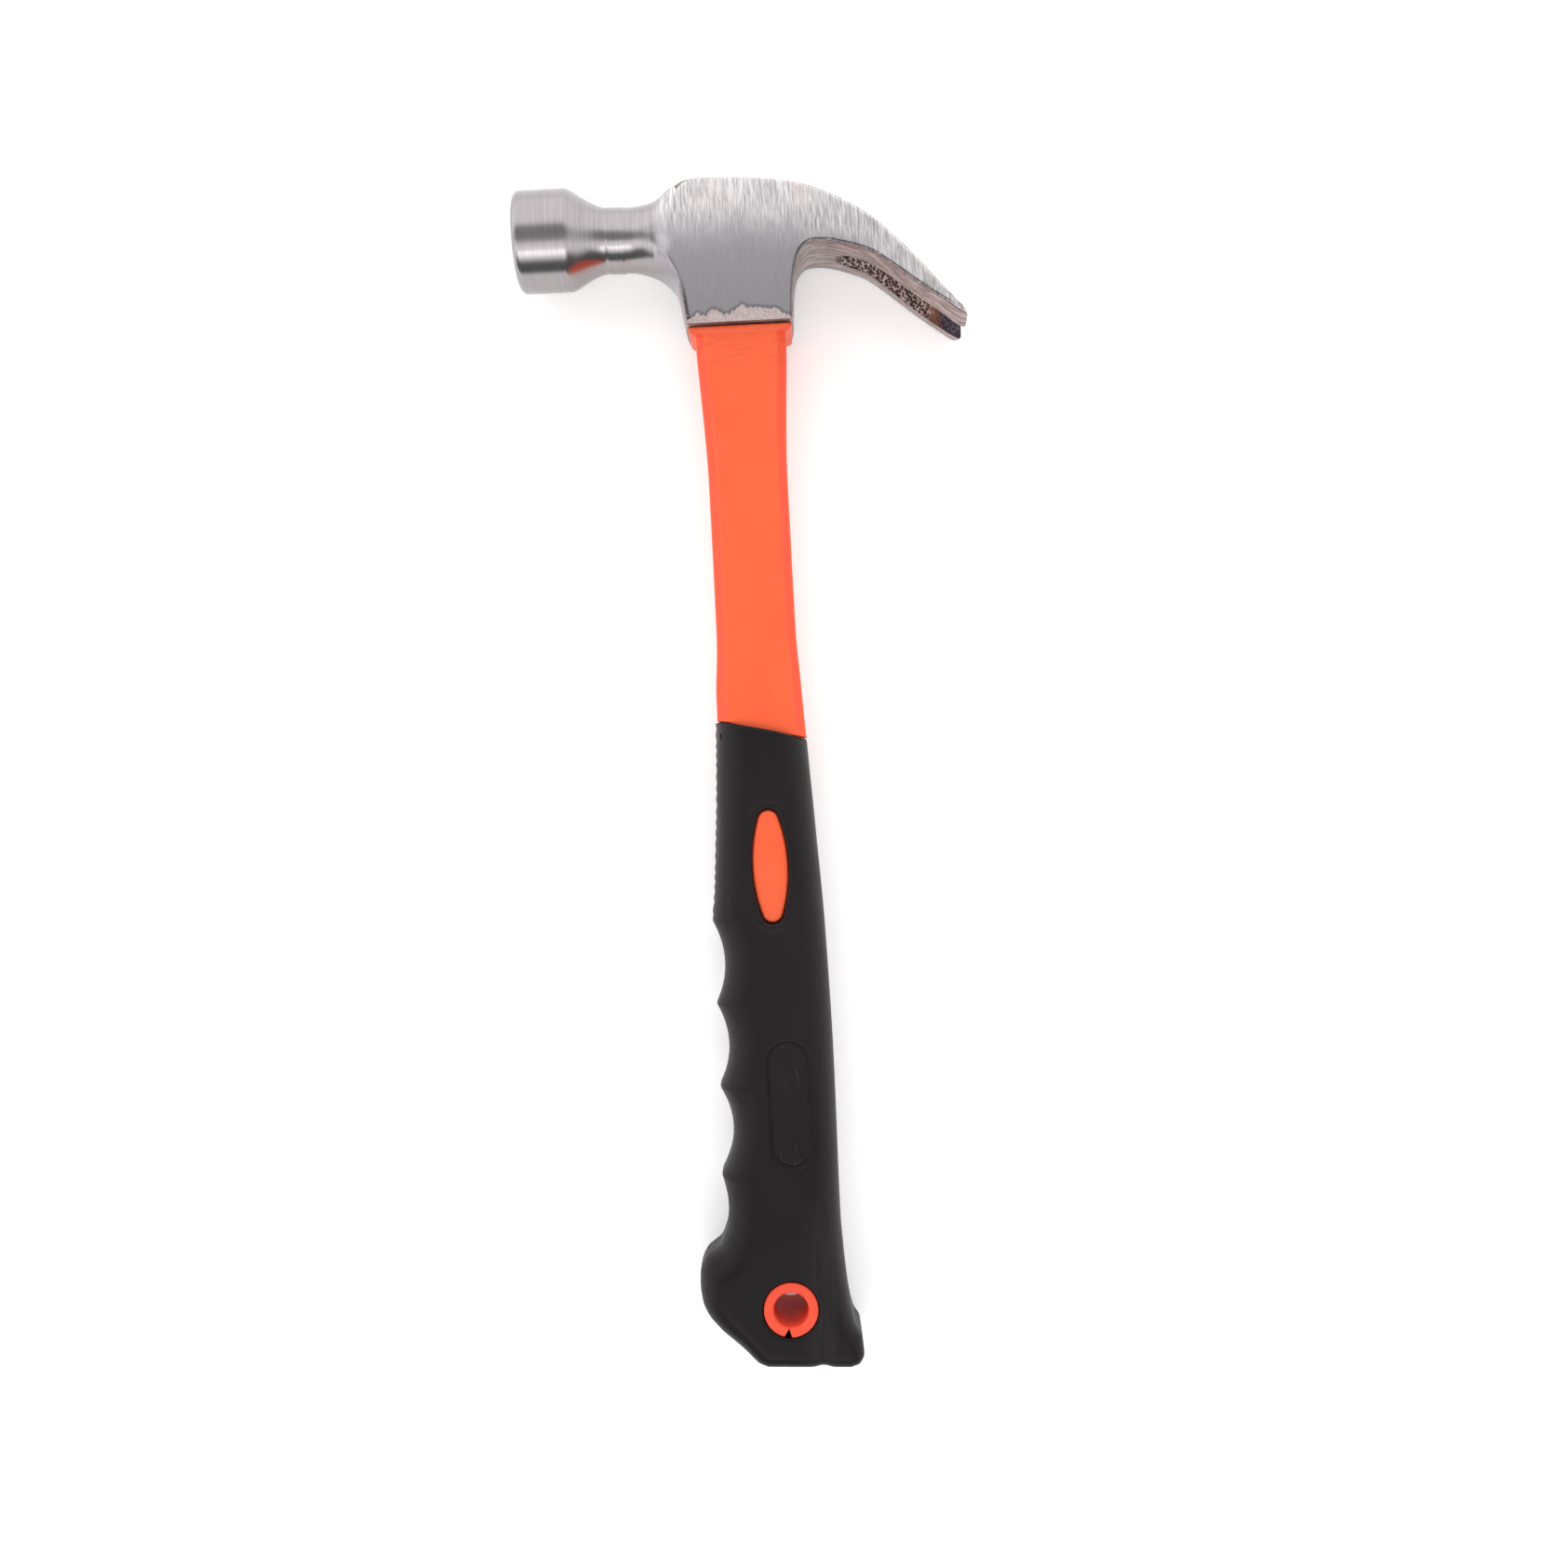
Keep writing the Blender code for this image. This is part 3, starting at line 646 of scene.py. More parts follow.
def lens(inset=0.0, steps=40):
    """The window's outline: two shallow arcs joined by round ends, smaller by the inset."""
    core_length = WINDOW_LENGTH / 2 - WINDOW_END
    core_width = WINDOW_WIDTH / 2 - WINDOW_END
    bow = (core_length**2 + core_width**2) / (2 * core_width)
    widest = math.asin(core_length / bow)
    reach = WINDOW_END - inset
    side = []
    for step in range(steps + 1):
        angle = -widest + 2 * widest * step / steps
        along, out = bow * math.sin(angle), bow * math.cos(angle) - bow + core_width
        side.append((out + reach * math.cos(angle), along + reach * math.sin(angle)))
    for step in range(1, steps // 2):
        angle = widest + (math.pi - 2 * widest) * step / (steps // 2)
        side.append((reach * math.cos(angle), core_length + reach * math.sin(angle)))
    side = np.array(side)
    return np.vstack((side, -side)) + WINDOW


def window_pad(side, material):
    """A closed lens with a rounded upper edge and a slightly domed face."""
    edge = 0.5
    levels = [(0.0, 6.0), (0.0, WINDOW_FACE_Z - 0.15 - edge)]
    for step in range(1, 6):
        angle = math.pi / 2 * step / 5
        fall = 0.15 + edge * (1 - math.sin(angle))
        levels.append((edge * (1 - math.cos(angle)), WINDOW_FACE_Z - fall))
    levels += [(0.9, WINDOW_FACE_Z - 0.11), (1.4, WINDOW_FACE_Z - 0.05), (1.85, WINDOW_FACE_Z)]
    rings = []
    for inset, z in levels:
        outline = lens(inset)
        rings.append(np.column_stack((outline, np.full(len(outline), side * z))))
    count = len(rings[0])
    faces = []
    for r in range(len(rings) - 1):
        for i in range(count):
            j = (i + 1) % count
            quad = (r * count + i, r * count + j, (r + 1) * count + j, (r + 1) * count + i)
            faces.append(quad if side > 0 else quad[::-1])
    base, lid = tuple(range(count)), tuple(range((len(rings) - 1) * count, len(rings) * count))
    faces += [base[::-1], lid] if side > 0 else [base, lid[::-1]]
    return add_piece(f"window_pad_{side}", np.vstack(rings), faces, material)


# ---------------------------------------------------------------- grip

GRIP_LEFT = (
    (-1.0, 4.2), (0.0, 5.6), (0.7, 7.4), (1.6, 8.4), (4.0, 10.5), (7.0, 13.4), (9.8, 16.1),
    (12.6, 18.4), (15.6, 19.7), (19.0, 20.1), (21.8, 20.0), (24.9, 18.7), (28.0, 15.0),
    (31.1, 13.9), (36.0, 13.8), (43.9, 14.0), (63.2, 13.3), (82.4, 13.2), (101.5, 13.1),
    (107.8, 12.4), (117.3, 11.7), (130.1, 10.8), (147.9, 10.05), (156.0, 9.9),
)
GRIP_RIGHT = (
    (0.0, 13.2), (0.7, 15.3), (2.7, 16.4), (5.9, 16.2), (9.1, 14.7), (15.4, 13.7), (25.0, 13.0),
    (34.0, 12.7), (70.0, 13.0), (98.0, 12.6), (123.0, 11.5), (147.9, 10.4), (156.0, 10.3),
)
GRIP_THICK = (
    (0.0, HALF_HEIGHT), (26.0, HALF_HEIGHT), (48.0, 11.2), (83.0, 10.7), (114.0, 10.1),
    (147.9, 8.9), (156.0, 8.8),
)
GROOVES = ((92.2, 9.3, 2.3), (73.5, 9.3, 2.4), (53.7, 9.9, 2.85), (37.0, 6.8, 1.0))
EDGE_ACROSS = ((0.0, 2.6), (7.0, 4.4), (24.0, 7.0))
EDGE_DOWN = ((0.0, 3.4), (7.0, 5.0), (24.0, 8.2))
BUTT_TILT = 0.05
PANEL = (2.5, 59.9)
PANEL_LENGTH = 28.8
PANEL_WIDTH = 10.0
PANEL_GROOVE = 0.9
PANEL_DEPTH = 0.5


def grip_left(y):
    reach = smooth_table(GRIP_LEFT, y)
    for centre, half, depth in GROOVES:
        away = np.clip((y - centre) / half, -1, 1)
        reach = reach - depth * (1 - away * away)
    return reach


def grip_outline():
    y = np.concatenate((np.arange(0.0, 4.0, 0.15), np.arange(4.0, 156.0, 0.35)))
    right = np.column_stack((smooth_table(GRIP_RIGHT, y), y))
    left = np.column_stack((-grip_left(y), y))
    rise = BUTT_TILT * np.maximum(0.0, 1 - y / 9.0)
    half = (right[:, 0] - left[:, 0]) / 2
    left[:, 1] += rise * 2 * half
    return Outline(np.vstack((right, left[::-1])))


grip_side = grip_outline()
window_side = Outline(lens(-GAP), step=0.1)


def jacket_field(x, y, z):
    """Distance to the jacket's eight-sided section, as narrow as it is under the grip."""
    half_x, half_z = jacket_sizes(y)
    half_x = half_x - REBATE
    x = np.abs(x - JACKET_AXIS_X)
    z = np.abs(z)
    cut = (x + z - half_x - half_z + JACKET_CHAMFER) / math.sqrt(2)
    return np.maximum(np.maximum(x - half_x, z - half_z), cut)


def panel_side(x, y):
    """Distance outside the round-ended outline of the blank panel."""
    length = np.maximum(np.abs(y - PANEL[1]) - (PANEL_LENGTH - PANEL_WIDTH) / 2, 0)
    return np.hypot(x - PANEL[0], length) - PANEL_WIDTH / 2


def grip_field(x, y, z):
    """The rubber: a rounded block in the grip's outline, less windows, seats, groove and cavity."""
    half = np.minimum(smooth_table(GRIP_THICK, y), INNER_HALF_HEIGHT)
    across, down = smooth_table(EDGE_ACROSS, y), smooth_table(EDGE_DOWN, y)
    side = grip_side(x, y)
    inward = side + across
    above = (np.abs(z) - half + down) * across / down
    outside = np.hypot(np.maximum(inward, 0), np.maximum(above, 0))
    body = outside + np.minimum(np.maximum(inward, above), 0) - across
    # A moulding seam runs round the mid-plane, and is ragged on the finger side above the grooves.
    beads = np.abs(np.sin(y * 1.25 + 1.5 * grain(1.5, y * 0.3, 2.5)))
    ragged = smoothstep(98.0, 103.0, y) * (x < 0) * beads
    body = body - (0.05 + 0.24 * ragged) * np.exp(-((z / 0.7) ** 2)) * smoothstep(1.5, 3.5, y)
    # The butt's edge is pinched in at one place.
    body = body + 0.55 * np.exp(-(((x - 7.0) / 1.5) ** 2) - ((y - 0.2) / 1.6) ** 2)
    # Lips swell gently round the windows and the hang hole.
    window = window_side(x, y)
    ends = smoothstep(9.5, 12.5, np.abs(y - WINDOW[1]))
    body = body - (0.10 + 0.16 * ends) * np.exp(-(((window - 0.9) / 0.9) ** 2))
    top = (y - seam(x) + GAP) * 0.97
    body = soft_max(body, top, 0.35)
    body = soft_max(body, 0.03 - y, 0.1)
    body = soft_max(body, -window, 0.45)
    seat = np.hypot(x - HOLE[0], y - HOLE[1]) - BUSH_RADIUS - GAP + 0.1
    body = soft_max(body, -seat, 0.35)
    panel = panel_side(x, y) + PANEL_GROOVE / 2
    groove = np.hypot(panel, (half - np.abs(z)) * PANEL_GROOVE / 2 / PANEL_DEPTH) - PANEL_GROOVE / 2
    body = soft_max(body, -groove, 0.2)
    cavity = np.maximum(jacket_field(x, y, z) - GAP, JACKET_BOTTOM_Y - GAP - y)
    return np.maximum(body, -cavity)


def build_grip(material):
    low = (-22.0, -1.0, -HALF_HEIGHT - 1)
    high = (18.0, 151.0, HALF_HEIGHT + 1)
    points, quads = surface_of(grip_field, low, high, GRIP_CELL)
    x, y = points.T[:2]
    panel = panel_side(x, y) + PANEL_GROOVE
    inside = 1 - smoothstep(-0.4, 0.2, panel)
    # The groove mark carries the painted shade of the panel's groove.
    groove = np.exp(-(((panel - PANEL_GROOVE / 2) / 0.45) ** 2))
    marks = np.stack((inside, groove, 0 * x, 0 * x + 1), 1)
    grip = add_piece("rubber_grip", points, quads, material, marks)
    stand_for(grip, "grip")
    return grip


# ---------------------------------------------------------------- bush and resin

BUSH_HALF_LENGTH = 11.85
BUSH_LIP = 0.62
SPLIT_ANGLE = math.radians(-99.0)
SPLIT_SPREAD = 0.44
RESIN_TOP_Y = 267.6


def bush_field(x, y, z):
    """A ring with rounded inner lips and a V-shaped split that closes at the bore."""
    away_x, away_y = x - HOLE[0], y - HOLE[1]
    radius = np.hypot(away_x, away_y)
    ends = np.abs(z) - BUSH_HALF_LENGTH
    near_end = np.clip(ends + BUSH_LIP, 0, BUSH_LIP)
    lip = BUSH_LIP - np.sqrt(np.clip(BUSH_LIP**2 - near_end**2, 0, None))
    ring = np.maximum(radius - BUSH_RADIUS, BORE_RADIUS + 0.8 * lip - radius)
    body = soft_max(ring, ends, 0.3)
    along = away_x * math.cos(SPLIT_ANGLE) + away_y * math.sin(SPLIT_ANGLE)
    across = -away_x * math.sin(SPLIT_ANGLE) + away_y * math.cos(SPLIT_ANGLE)
    split = np.abs(across) - SPLIT_SPREAD * np.maximum(along - BORE_RADIUS - 0.2, -1.0)
    return soft_max(body, np.minimum(-split, along), 0.1)


def build_bush(material):
    reach = BUSH_RADIUS + 1
    low = (HOLE[0] - reach, HOLE[1] - reach, -HALF_HEIGHT - 1)
    high = (HOLE[0] + reach, HOLE[1] + reach, HALF_HEIGHT + 1)
    points, quads = surface_of(bush_field, low, high, 0.25)
    bush = add_piece("hole_bush", points, quads, material)
    stand_for(bush, "hang_hole_bush")
    return bush


def resin_field(x, y, z):
    away = eye(x, y, z, rounding=0.0)
    meniscus = 0.7 * np.exp(np.minimum(away, 0) / 0.9)
    wave = 0.12 * grain(x * 0.35, 6.5, z * 0.35)
    top = y - RESIN_TOP_Y - meniscus - wave
    body = np.maximum(np.maximum(away + GAP, top), RIM_Y + 0.1 - y)
    core = np.maximum(rounded_box(x, z, *CORE_HALF, CORE_CORNER), y - CORE_TOP_Y)
    return soft_max(body, -core, 0.2)


def build_resin(material):
    points, quads = surface_of(resin_field, (-10.0, RIM_Y - 1, -8.0), (10.0, 270.0, 8.0), 0.4)
    resin = add_piece("eye_cast", points, quads, material)
    stand_for(resin, "eye_resin")
    return resin


# ---------------------------------------------------------------- materials


class Nodes:
    """Short calls for building a node tree."""

    def __init__(self, tree):
        self.tree = tree

    def add(self, kind):
        return self.tree.nodes.new(kind)

    def link(self, source, target):
        self.tree.links.new(source, target)

    def feed(self, value, socket):
        if isinstance(value, bpy.types.NodeSocket):
            self.link(value, socket)
        else:
            socket.default_value = value

    def math(self, operation, a, b):
        node = self.add("ShaderNodeMath")
        node.operation = operation
        self.feed(a, node.inputs[0])
        self.feed(b, node.inputs[1])
        return node.outputs[0]

    def times(self, a, b):
        return self.math("MULTIPLY", a, b)

    def plus(self, a, b):
        return self.math("ADD", a, b)

    def less(self, a, b):
        return self.math("SUBTRACT", a, b)

    def most(self, a, b):
        return self.math("MAXIMUM", a, b)

    def rest(self, a):
        return self.less(1.0, a)

    def ramp(self, value, low, high, out_low=0.0, out_high=1.0):
        node = self.add("ShaderNodeMapRange")
        node.interpolation_type = "SMOOTHSTEP"
        self.feed(value, node.inputs["Value"])
        node.inputs["From Min"].default_value = low
        node.inputs["From Max"].default_value = high
        node.inputs["To Min"].default_value = out_low
        node.inputs["To Max"].default_value = out_high
        return node.outputs["Result"]

    def blend(self, factor, a, b):
        node = self.add("ShaderNodeMix")
        self.feed(factor, node.inputs["Factor"])
        self.feed(a, node.inputs["A"])
        self.feed(b, node.inputs["B"])
        return node.outputs["Result"]

    def parts(self, vector):
        node = self.add("ShaderNodeSeparateXYZ")
        self.link(vector, node.inputs[0])
        return node.outputs


class Surface(Nodes):
    """The node tree of one material, which works in the hammer's own millimetres."""

    def __init__(self, name):
        self.material = bpy.data.materials.new(name)
        self.material.use_nodes = True
        super().__init__(self.material.node_tree)
        self.shader = self.tree.nodes["Principled BSDF"]
        scale = self.add("ShaderNodeVectorMath")
        scale.operation = "SCALE"
        scale.inputs["Scale"].default_value = 1 / MM
        self.link(self.add("ShaderNodeTexCoord").outputs["Object"], scale.inputs[0])
        self.place = scale.outputs[0]

    def stretched(self, scale):
        node = self.add("ShaderNodeVectorMath")
        node.operation = "MULTIPLY"
        self.link(self.place, node.inputs[0])
        node.inputs[1].default_value = scale if isinstance(scale, tuple) else (scale,) * 3
        return node.outputs[0]

    def noise(self, scale, detail=3.0, roughness=0.5, distortion=0.0):
        """Noise from 0 to 1, its grains per millimetre given on each axis or once for all three."""
        node = self.add("ShaderNodeTexNoise")
        self.link(self.stretched(scale), node.inputs["Vector"])
        node.inputs["Scale"].default_value = 1.0
        node.inputs["Detail"].default_value = detail
        node.inputs["Roughness"].default_value = roughness
        node.inputs["Distortion"].default_value = distortion
        return node.outputs["Fac"]

    def cells(self, scale):
        node = self.add("ShaderNodeTexVoronoi")
        self.link(self.stretched(scale), node.inputs["Vector"])
        node.inputs["Scale"].default_value = 1.0
        return node.outputs["Distance"]

    def mix(self, factor, a, b):
        node = self.add("ShaderNodeMix")
        node.data_type = "RGBA"
        self.feed(factor, node.inputs["Factor"])
        for value, socket in ((a, node.inputs["A"]), (b, node.inputs["B"])):
            self.feed(value if isinstance(value, bpy.types.NodeSocket) else (*value, 1.0), socket)
        return node.outputs["Result"]

    def zones(self, name="zone"):
        node = self.add("ShaderNodeAttribute")
        node.attribute_name = name
        parts = self.add("ShaderNodeSeparateColor")
        self.link(node.outputs["Color"], parts.inputs[0])
        return parts.outputs[0], parts.outputs[1], parts.outputs[2], node.outputs["Alpha"]

    def bump(self, height, distance, strength=1.0, under=None):
        node = self.add("ShaderNodeBump")
        node.inputs["Strength"].default_value = strength
        node.inputs["Distance"].default_value = distance * MM
        self.feed(height, node.inputs["Height"])
        if under is not None:
            self.link(under, node.inputs["Normal"])
        return node.outputs["Normal"]

    def finish(self, colour, roughness, normal):
        self.feed(colour, self.shader.inputs["Base Color"])
        self.feed(roughness, self.shader.inputs["Roughness"])
        self.link(normal, self.shader.inputs["Normal"])
        return self.material


def steel_material():
    """Belt-ground cheeks, turned bell and neck, reddish forged skin, a dark mottled slot whose
    darkness is painted shade over forged scale.
    """
    n = Surface("ground_and_forged_steel")
    below, slot_edge, bell_edge, strip_edge = n.zones()
    ragged = n.times(n.less(n.noise(3.0, 3.0, 0.6), 0.5), 0.05)
    on_ground = n.ramp(n.plus(below, ragged), 0.455, 0.480)
    skin = n.rest(on_ground)
    strip = n.ramp(n.plus(strip_edge, ragged), 0.515, 0.490)
    slot = n.times(n.ramp(n.plus(slot_edge, n.times(ragged, 2.0)), 0.60, 0.54), skin)
    turned = n.ramp(bell_edge, 0.60, 0.38)
    brushed_and_lit, border, low_side, from_root = n.zones("finish")
    at_root = n.times(n.ramp(from_root, 0.22, 0.05), skin)
    slot = n.most(slot, at_root)

    down_lines = n.noise((2.5, 0.15, 0.5), 3.0, 0.62)
    fine_lines = n.noise((4.4, 0.34, 1.0), 2.0, 0.5)
    round_lines = n.noise((3.4, 0.06, 0.06), 3.0, 0.6)
    lines = n.blend(turned, n.blend(0.45, down_lines, fine_lines), round_lines)
    depth = n.blend(turned, n.blend(brushed_and_lit, 0.25, 1.0), 0.45)
    lines = n.plus(n.times(n.less(lines, 0.5), depth), 0.5)

    clouds = n.noise((0.10, 0.07, 0.12), 3.0, 0.55, 0.6)
    pits = n.noise(1.6, 4.0, 0.7)
    mottle = n.noise(0.55, 5.0, 0.7, 0.8)
    streaks = n.noise((0.14, 0.26, 2.2), 5.0, 0.68, 0.5)
    blotches = n.cells(1.7)

    ground = n.mix(n.ramp(lines, 0.33, 0.66), (0.31, 0.30, 0.31), (0.74, 0.715, 0.72))
    scratch = n.ramp(n.noise((0.35, 1.9, 0.5), 3.0, 0.6, 2.2), 0.685, 0.72)
    warm = n.times(n.ramp(clouds, 0.48, 0.72), brushed_and_lit)
    ground = n.mix(n.times(warm, 0.45), ground, (0.60, 0.505, 0.485))
    satin_and_shaded = n.mix(n.ramp(lines, 0.40, 0.60), (0.335, 0.322, 0.345), (0.385, 0.370, 0.390))
    satin_and_shaded = n.mix(n.times(scratch, 0.5), satin_and_shaded, (0.58, 0.56, 0.57))
    # Painted light and shade: the coarsely ground upper cheek and claws are coloured lighter, the
    # satin lower cheek darker, besides their real roughness.
    ground = n.mix(brushed_and_lit, satin_and_shaded, ground)
    # Painted shade: a dark, mottled line just inside the outline, along the lower edges of the
    # ground face only.
    painted_crease_shade = n.times(n.ramp(border, 0.32, 0.42), n.ramp(border, 0.50, 0.46))
    painted_crease_shade = n.times(n.times(painted_crease_shade, low_side), n.ramp(pits, 0.32, 0.50, 0.25, 0.9))
    ground = n.mix(painted_crease_shade, ground, (0.07, 0.055, 0.058))
    forged = n.mix(n.ramp(streaks, 0.38, 0.60), (0.24, 0.200, 0.190), (0.56, 0.515, 0.50))
    rust = n.ramp(n.noise((0.12, 0.45, 1.0), 4.0, 0.6, 0.4), 0.52, 0.68)
    forged = n.mix(n.times(rust, 0.6), forged, (0.20, 0.11, 0.09))
    # Painted shade: the forged skin is coloured darker next to its crease with the ground face.
    edge = n.ramp(n.plus(below, n.times(ragged, 3.0)), 0.36, 0.455)
    forged = n.mix(n.times(edge, 0.75), forged, (0.10, 0.075, 0.072))
    # Partly forged scale, partly painted shade: the slot is coloured dark and mottled, brown near
    # the root and purple-black towards the tips.
    slot_scale_and_shade = n.mix(n.ramp(blotches, 0.34, 0.82), (0.032, 0.022, 0.021), (0.50, 0.42, 0.40))
    slot_scale_and_shade = n.mix(n.times(n.ramp(mottle, 0.45, 0.70), 0.5), slot_scale_and_shade, (0.09, 0.045, 0.04))
    brown_to_purple = n.mix(n.ramp(from_root, 0.475, 0.89), (0.20, 0.085, 0.045), (0.045, 0.035, 0.055))
    slot_scale_and_shade = n.mix(n.times(n.ramp(from_root, 0.265, 0.59), 0.85), slot_scale_and_shade, brown_to_purple)
    # Painted shade: the root hollow is coloured nearly black.
    slot_scale_and_shade = n.mix(n.ramp(from_root, 0.22, 0.05, 0.0, 0.85), slot_scale_and_shade, (0.030, 0.022, 0.024))
    scale = n.mix(n.ramp(pits, 0.35, 0.65), (0.40, 0.335, 0.330), (0.60, 0.515, 0.505))
    specks = n.ramp(n.noise(2.2, 2.0, 0.5), 0.70, 0.75)
    scale = n.mix(specks, scale, (0.85, 0.82, 0.82))

    bell = n.mix(n.ramp(lines, 0.34, 0.66), (0.290, 0.275, 0.284), (0.375, 0.357, 0.362))
    colour = n.mix(turned, ground, bell)
    # Painted shadow: a thin dark line along the ragged upper edge of the unground strip.
    painted_strip_shadow = n.times(n.ramp(strip_edge, 0.53, 0.50), n.ramp(strip_edge, 0.47, 0.50))
    colour = n.mix(strip, colour, scale)
    colour = n.mix(n.times(painted_strip_shadow, 0.45), colour, (0.16, 0.13, 0.13))
    colour = n.mix(skin, colour, n.mix(turned, forged, bell))
    colour = n.mix(slot, colour, slot_scale_and_shade)

    rough_skin = n.times(skin, n.rest(turned))
    worked = n.most(n.most(rough_skin, slot), strip)
    smooth = n.plus(n.blend(brushed_and_lit, 0.24, 0.38), n.times(n.less(lines, 0.5), 0.30))
    smooth = n.blend(turned, smooth, 0.21)
    roughness = n.blend(worked, smooth, n.ramp(pits, 0.3, 0.7, 0.46, 0.66))
    raised = n.bump(n.times(lines, n.rest(worked)), 0.02, 0.45)
    raised = n.bump(n.times(n.plus(pits, mottle), worked), 0.16, 0.6, raised)
    n.shader.inputs["Metallic"].default_value = 1.0
    return n.finish(colour, roughness, raised)


def orange_material(name, colour, deep):
    """Satin moulded plastic with faint mottling, pale scuffs, hairline scratches and flow lines;
    its chamfers are painted darker as painted shade.
    """
    n = Surface(name)
    shaded_chamfer, near_top, _, _ = n.zones()
    clouds = n.noise((0.08, 0.05, 0.08), 3.0, 0.5, 0.4)
    base = n.mix(n.ramp(clouds, 0.30, 0.75), deep, colour)
    # Painted shade: the chamfers get a deeper, darker orange than the faces.
    base = n.mix(n.times(shaded_chamfer, 0.85), base, (deep[0], 0.66 * deep[1], 0.62 * deep[2]))
    scuff = n.ramp(n.noise((0.9, 0.30, 0.9), 6.0, 0.75, 1.2), 0.64, 0.72)
    hair = n.ramp(n.noise((0.16, 2.4, 0.6), 2.0, 0.5, 1.8), 0.69, 0.73)
    marks = n.most(n.times(scuff, 0.26), n.times(hair, 0.20))
    marks = n.times(marks, n.plus(0.6, n.times(near_top, 0.8)))
    base = n.mix(marks, base, (0.80, 0.30, 0.18))
    flow = n.noise((0.10, 0.55, 0.10), 2.0, 0.5, 1.0)
    creases = n.times(n.ramp(flow, 0.55, 0.62), near_top)
    base = n.mix(n.times(creases, 0.30), base, tuple(0.8 * c for c in deep))
    grain_height = n.noise(3.0, 3.0, 0.6)
    roughness = n.plus(n.ramp(clouds, 0.3, 0.7, 0.40, 0.50), n.times(marks, 0.25))
    raised = n.bump(n.noise((0.25, 0.14, 0.25), 2.0, 0.5), 0.10, 0.35)
    raised = n.bump(creases, 0.10, 0.6, raised)
    raised = n.bump(n.less(grain_height, marks), 0.012, 0.5, raised)
    n.shader.inputs["Specular IOR Level"].default_value = 0.35
    return n.finish(base, roughness, raised)


def rubber_material():
    """Satin black rubber: fine moulded grain, soft undulation, faint scratches in the panel,
    painted shade in the panel's groove, a painted sheen on the lower right, and darker towards the
    butt.
    """
    n = Surface("black_rubber")
    panel, groove, _, _ = n.zones()
    clouds = n.noise((0.06, 0.045, 0.08), 3.0, 0.5, 0.5)
    height = n.less(n.parts(n.place)[1], float(ORIGIN[1] / MM))
    # The rubber is coloured darker towards the butt.
    darker_to_butt = n.ramp(n.plus(height, n.times(clouds, 30.0)), 110.0, 20.0)
    base = n.mix(n.ramp(clouds, 0.3, 0.7), (0.0072, 0.0048, 0.0062), (0.0092, 0.0064, 0.0080))
    base = n.mix(darker_to_butt, base, (0.0026, 0.0016, 0.0020))
    scratches = n.ramp(n.noise((1.6, 0.14, 0.5), 5.0, 0.7, 0.8), 0.60, 0.70)
    dust = n.ramp(n.noise(1.1, 5.0, 0.8), 0.68, 0.76)
    worn = n.most(n.times(n.times(scratches, panel), 0.30), n.times(dust, 0.10))
    base = n.mix(worn, base, (0.075, 0.070, 0.072))
    # Painted shade: the panel's groove is coloured darker.
    base = n.mix(n.times(groove, 0.6), base, (0.004, 0.004, 0.004))
    side = n.parts(n.place)[0]
    # Painted sheen: a lighter soft band along the right third of the lower grip.
    painted_sheen = n.times(n.ramp(side, 0.5, 6.5), n.ramp(side, 15.0, 8.5))
    painted_sheen = n.times(painted_sheen, n.ramp(height, 48.0, 30.0))
    painted_sheen = n.times(painted_sheen, n.ramp(n.noise((0.5, 0.06, 0.3), 3.0, 0.6), 0.25, 0.65))
    base = n.mix(n.times(painted_sheen, 0.8), base, (0.014, 0.0115, 0.0135))
    grains = n.noise(4.5, 2.0, 0.6)
    swell = n.noise((0.14, 0.055, 0.1), 2.0, 0.5)
    roughness = n.plus(n.ramp(clouds, 0.3, 0.7, 0.44, 0.54), n.times(worn, 0.3))
    raised = n.bump(swell, 0.25, 0.30)
    raised = n.bump(grains, 0.02, 0.45, raised)
    n.shader.inputs["Specular IOR Level"].default_value = 0.20
    return n.finish(base, roughness, raised)


def resin_material():
    """Dark cast epoxy with a few trapped bubbles."""
    n = Surface("cast_epoxy")
    clouds = n.noise(0.25, 3.0, 0.5)
    bubbles = n.ramp(n.cells(0.9), 0.10, 0.22)
    base = n.mix(n.ramp(clouds, 0.3, 0.7), (0.035, 0.028, 0.024), (0.075, 0.062, 0.052))
    raised = n.bump(n.plus(bubbles, clouds), 0.15, 0.6)
    return n.finish(base, n.ramp(clouds, 0.3, 0.7, 0.22, 0.36), raised)


def core_material():
    """Pultruded glass fibre: pale resin with fibres along the rod."""
    n = Surface("pultruded_glass_fibre")
    fibres = n.noise((5.0, 0.06, 5.0), 3.0, 0.6)
    base = n.mix(n.ramp(fibres, 0.3, 0.7), (0.50, 0.44, 0.26), (0.78, 0.73, 0.52))
    return n.finish(base, n.ramp(fibres, 0.3, 0.7, 0.42, 0.60), n.bump(fibres, 0.03, 0.6))


# ---------------------------------------------------------------- stage


CAMERA_LENS = 36.73
CAMERA_OFFSET = (4.24, -3.73, 370.5)  # from the middle of the hammer
CAMERA_TURN = math.radians(-2.95)
FLOOR_RADIUS = 6.0
FLOOR_GLOW = 0.24
CEILING_STRETCH = 0.38
CEILING_SHIFT = 0.03
SKY = 1.66


def floor_material():
    n = Surface("pale_floor")
    speckle = n.noise(0.02, 2.0, 0.5)
    base = n.mix(n.ramp(speckle, 0.3, 0.7), (0.94, 0.94, 0.94), (0.96, 0.96, 0.96))
    n.shader.inputs["Emission Color"].default_value = (1.0, 1.0, 1.0, 1.0)
    n.shader.inputs["Emission Strength"].default_value = FLOOR_GLOW
    return n.finish(base, 0.9, n.bump(speckle, 0.05, 0.05))


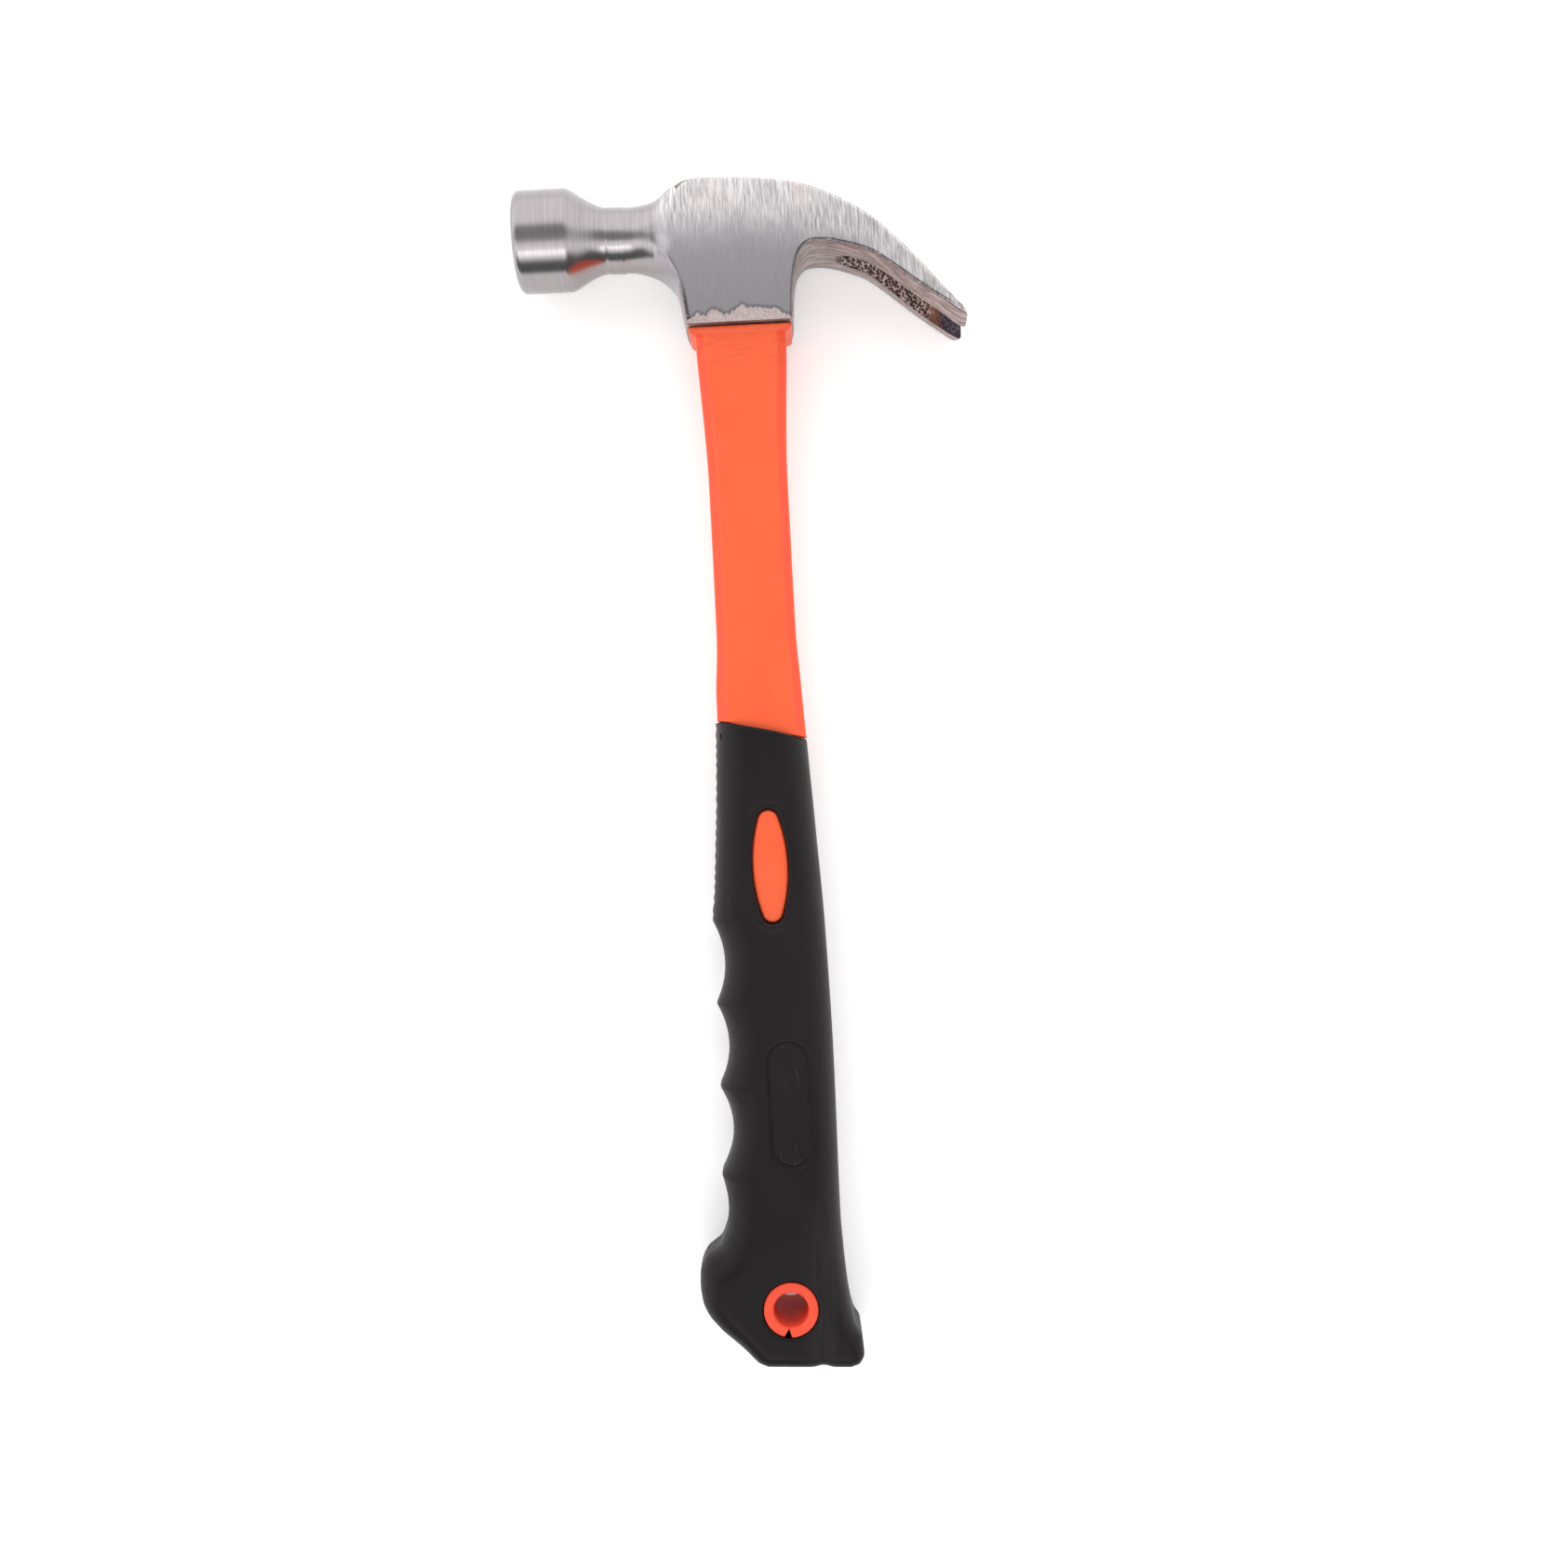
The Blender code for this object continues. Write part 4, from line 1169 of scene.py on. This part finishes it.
def build_stage():
    """A wide pale floor under the hammer."""
    mesh = bpy.data.meshes.new("pale_floor")
    form = bmesh.new()
    bmesh.ops.create_circle(form, cap_ends=True, radius=FLOOR_RADIUS, segments=96)
    form.to_mesh(mesh)
    form.free()
    mesh.materials.append(floor_material())
    floor = place_object("pale_floor", mesh)
    floor.location.z = float(cad_box[0][2]) - 0.0002


def soft_box(name, direction, distance, size, radiance):
    """A rectangular light of the given brightness that faces the hammer from one direction."""
    light = bpy.data.lights.new(name, "AREA")
    light.shape = "RECTANGLE"
    light.size, light.size_y = size
    light.energy = radiance * math.pi * size[0] * size[1]
    lamp = place_object(name, light)
    away = np.array(direction, float)
    lamp.location = away / np.linalg.norm(away) * distance
    lamp.rotation_euler = lamp.location.to_track_quat("Z", "Y").to_euler()


def build_sky():
    """An even pale surround, dimmer straight overhead and low down beyond the butt."""
    world = bpy.data.worlds.new("studio")
    world.use_nodes = True
    n = Nodes(world.node_tree)
    x, y, z = n.parts(n.add("ShaderNodeTexCoord").outputs["Generated"])
    across = n.times(x, CEILING_STRETCH)
    forward = n.less(y, CEILING_SHIFT)
    away = n.plus(n.times(across, across), n.times(forward, forward))
    ceiling = n.ramp(away, 0.02, 0.20, 0.27, 1.0)
    low = n.ramp(z, 0.42, 0.62, 1.0, 0.0)
    beyond = n.ramp(y, -0.40, -0.66)
    dusk = n.rest(n.times(n.times(low, beyond), 0.90))
    lean = n.rest(n.times(x, 0.10))
    shade = n.times(n.times(ceiling, dusk), n.times(lean, SKY))
    seen = n.add("ShaderNodeLightPath").outputs["Is Camera Ray"]
    back = n.tree.nodes["Background"]
    n.link(n.blend(seen, shade, 1.0), back.inputs["Strength"])
    back.inputs["Color"].default_value = (1.0, 0.985, 0.985, 1.0)
    bpy.context.scene.world = world


def build_light():
    """A pale studio surround with one soft box over the butt."""
    build_sky()
    soft_box("butt_side_box", (0.0, -0.62, 0.78), 1.6, (1.4, 0.36), 1.5)


def build_camera():
    """Straight above the handle's middle, turned a little about the vertical."""
    camera = place_object("camera", bpy.data.cameras.new("camera"))
    camera.data.sensor_width = 36.0
    camera.data.lens = CAMERA_LENS
    camera.data.clip_start = 0.01
    centre = (np.array(cad_box[0]) + np.array(cad_box[1])) / 2
    camera.location = centre + np.array(CAMERA_OFFSET) * MM
    camera.rotation_euler = (0, 0, CAMERA_TURN)
    bpy.context.scene.camera = camera


def build_hammer():
    orange = orange_material("orange_jacket", (0.84, 0.116, 0.036), (0.83, 0.106, 0.032))
    build_head(steel_material())
    build_jacket(orange)
    build_grip(rubber_material())
    bush_orange = orange_material("orange_bush", (0.790, 0.076, 0.030), (0.780, 0.070, 0.027))
    glow = bush_orange.node_tree.nodes["Principled BSDF"].inputs
    glow["Subsurface Weight"].default_value = 0.35
    glow["Subsurface Radius"].default_value = (1.0, 0.30, 0.12)
    glow["Subsurface Scale"].default_value = 3.0 * MM
    build_bush(bush_orange)
    build_resin(resin_material())
    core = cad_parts["fibreglass_core"]
    core.data.materials.clear()
    core.data.materials.append(core_material())


build_hammer()
build_stage()
build_light()
build_camera()
bpy.context.scene.view_settings.view_transform = "Standard"
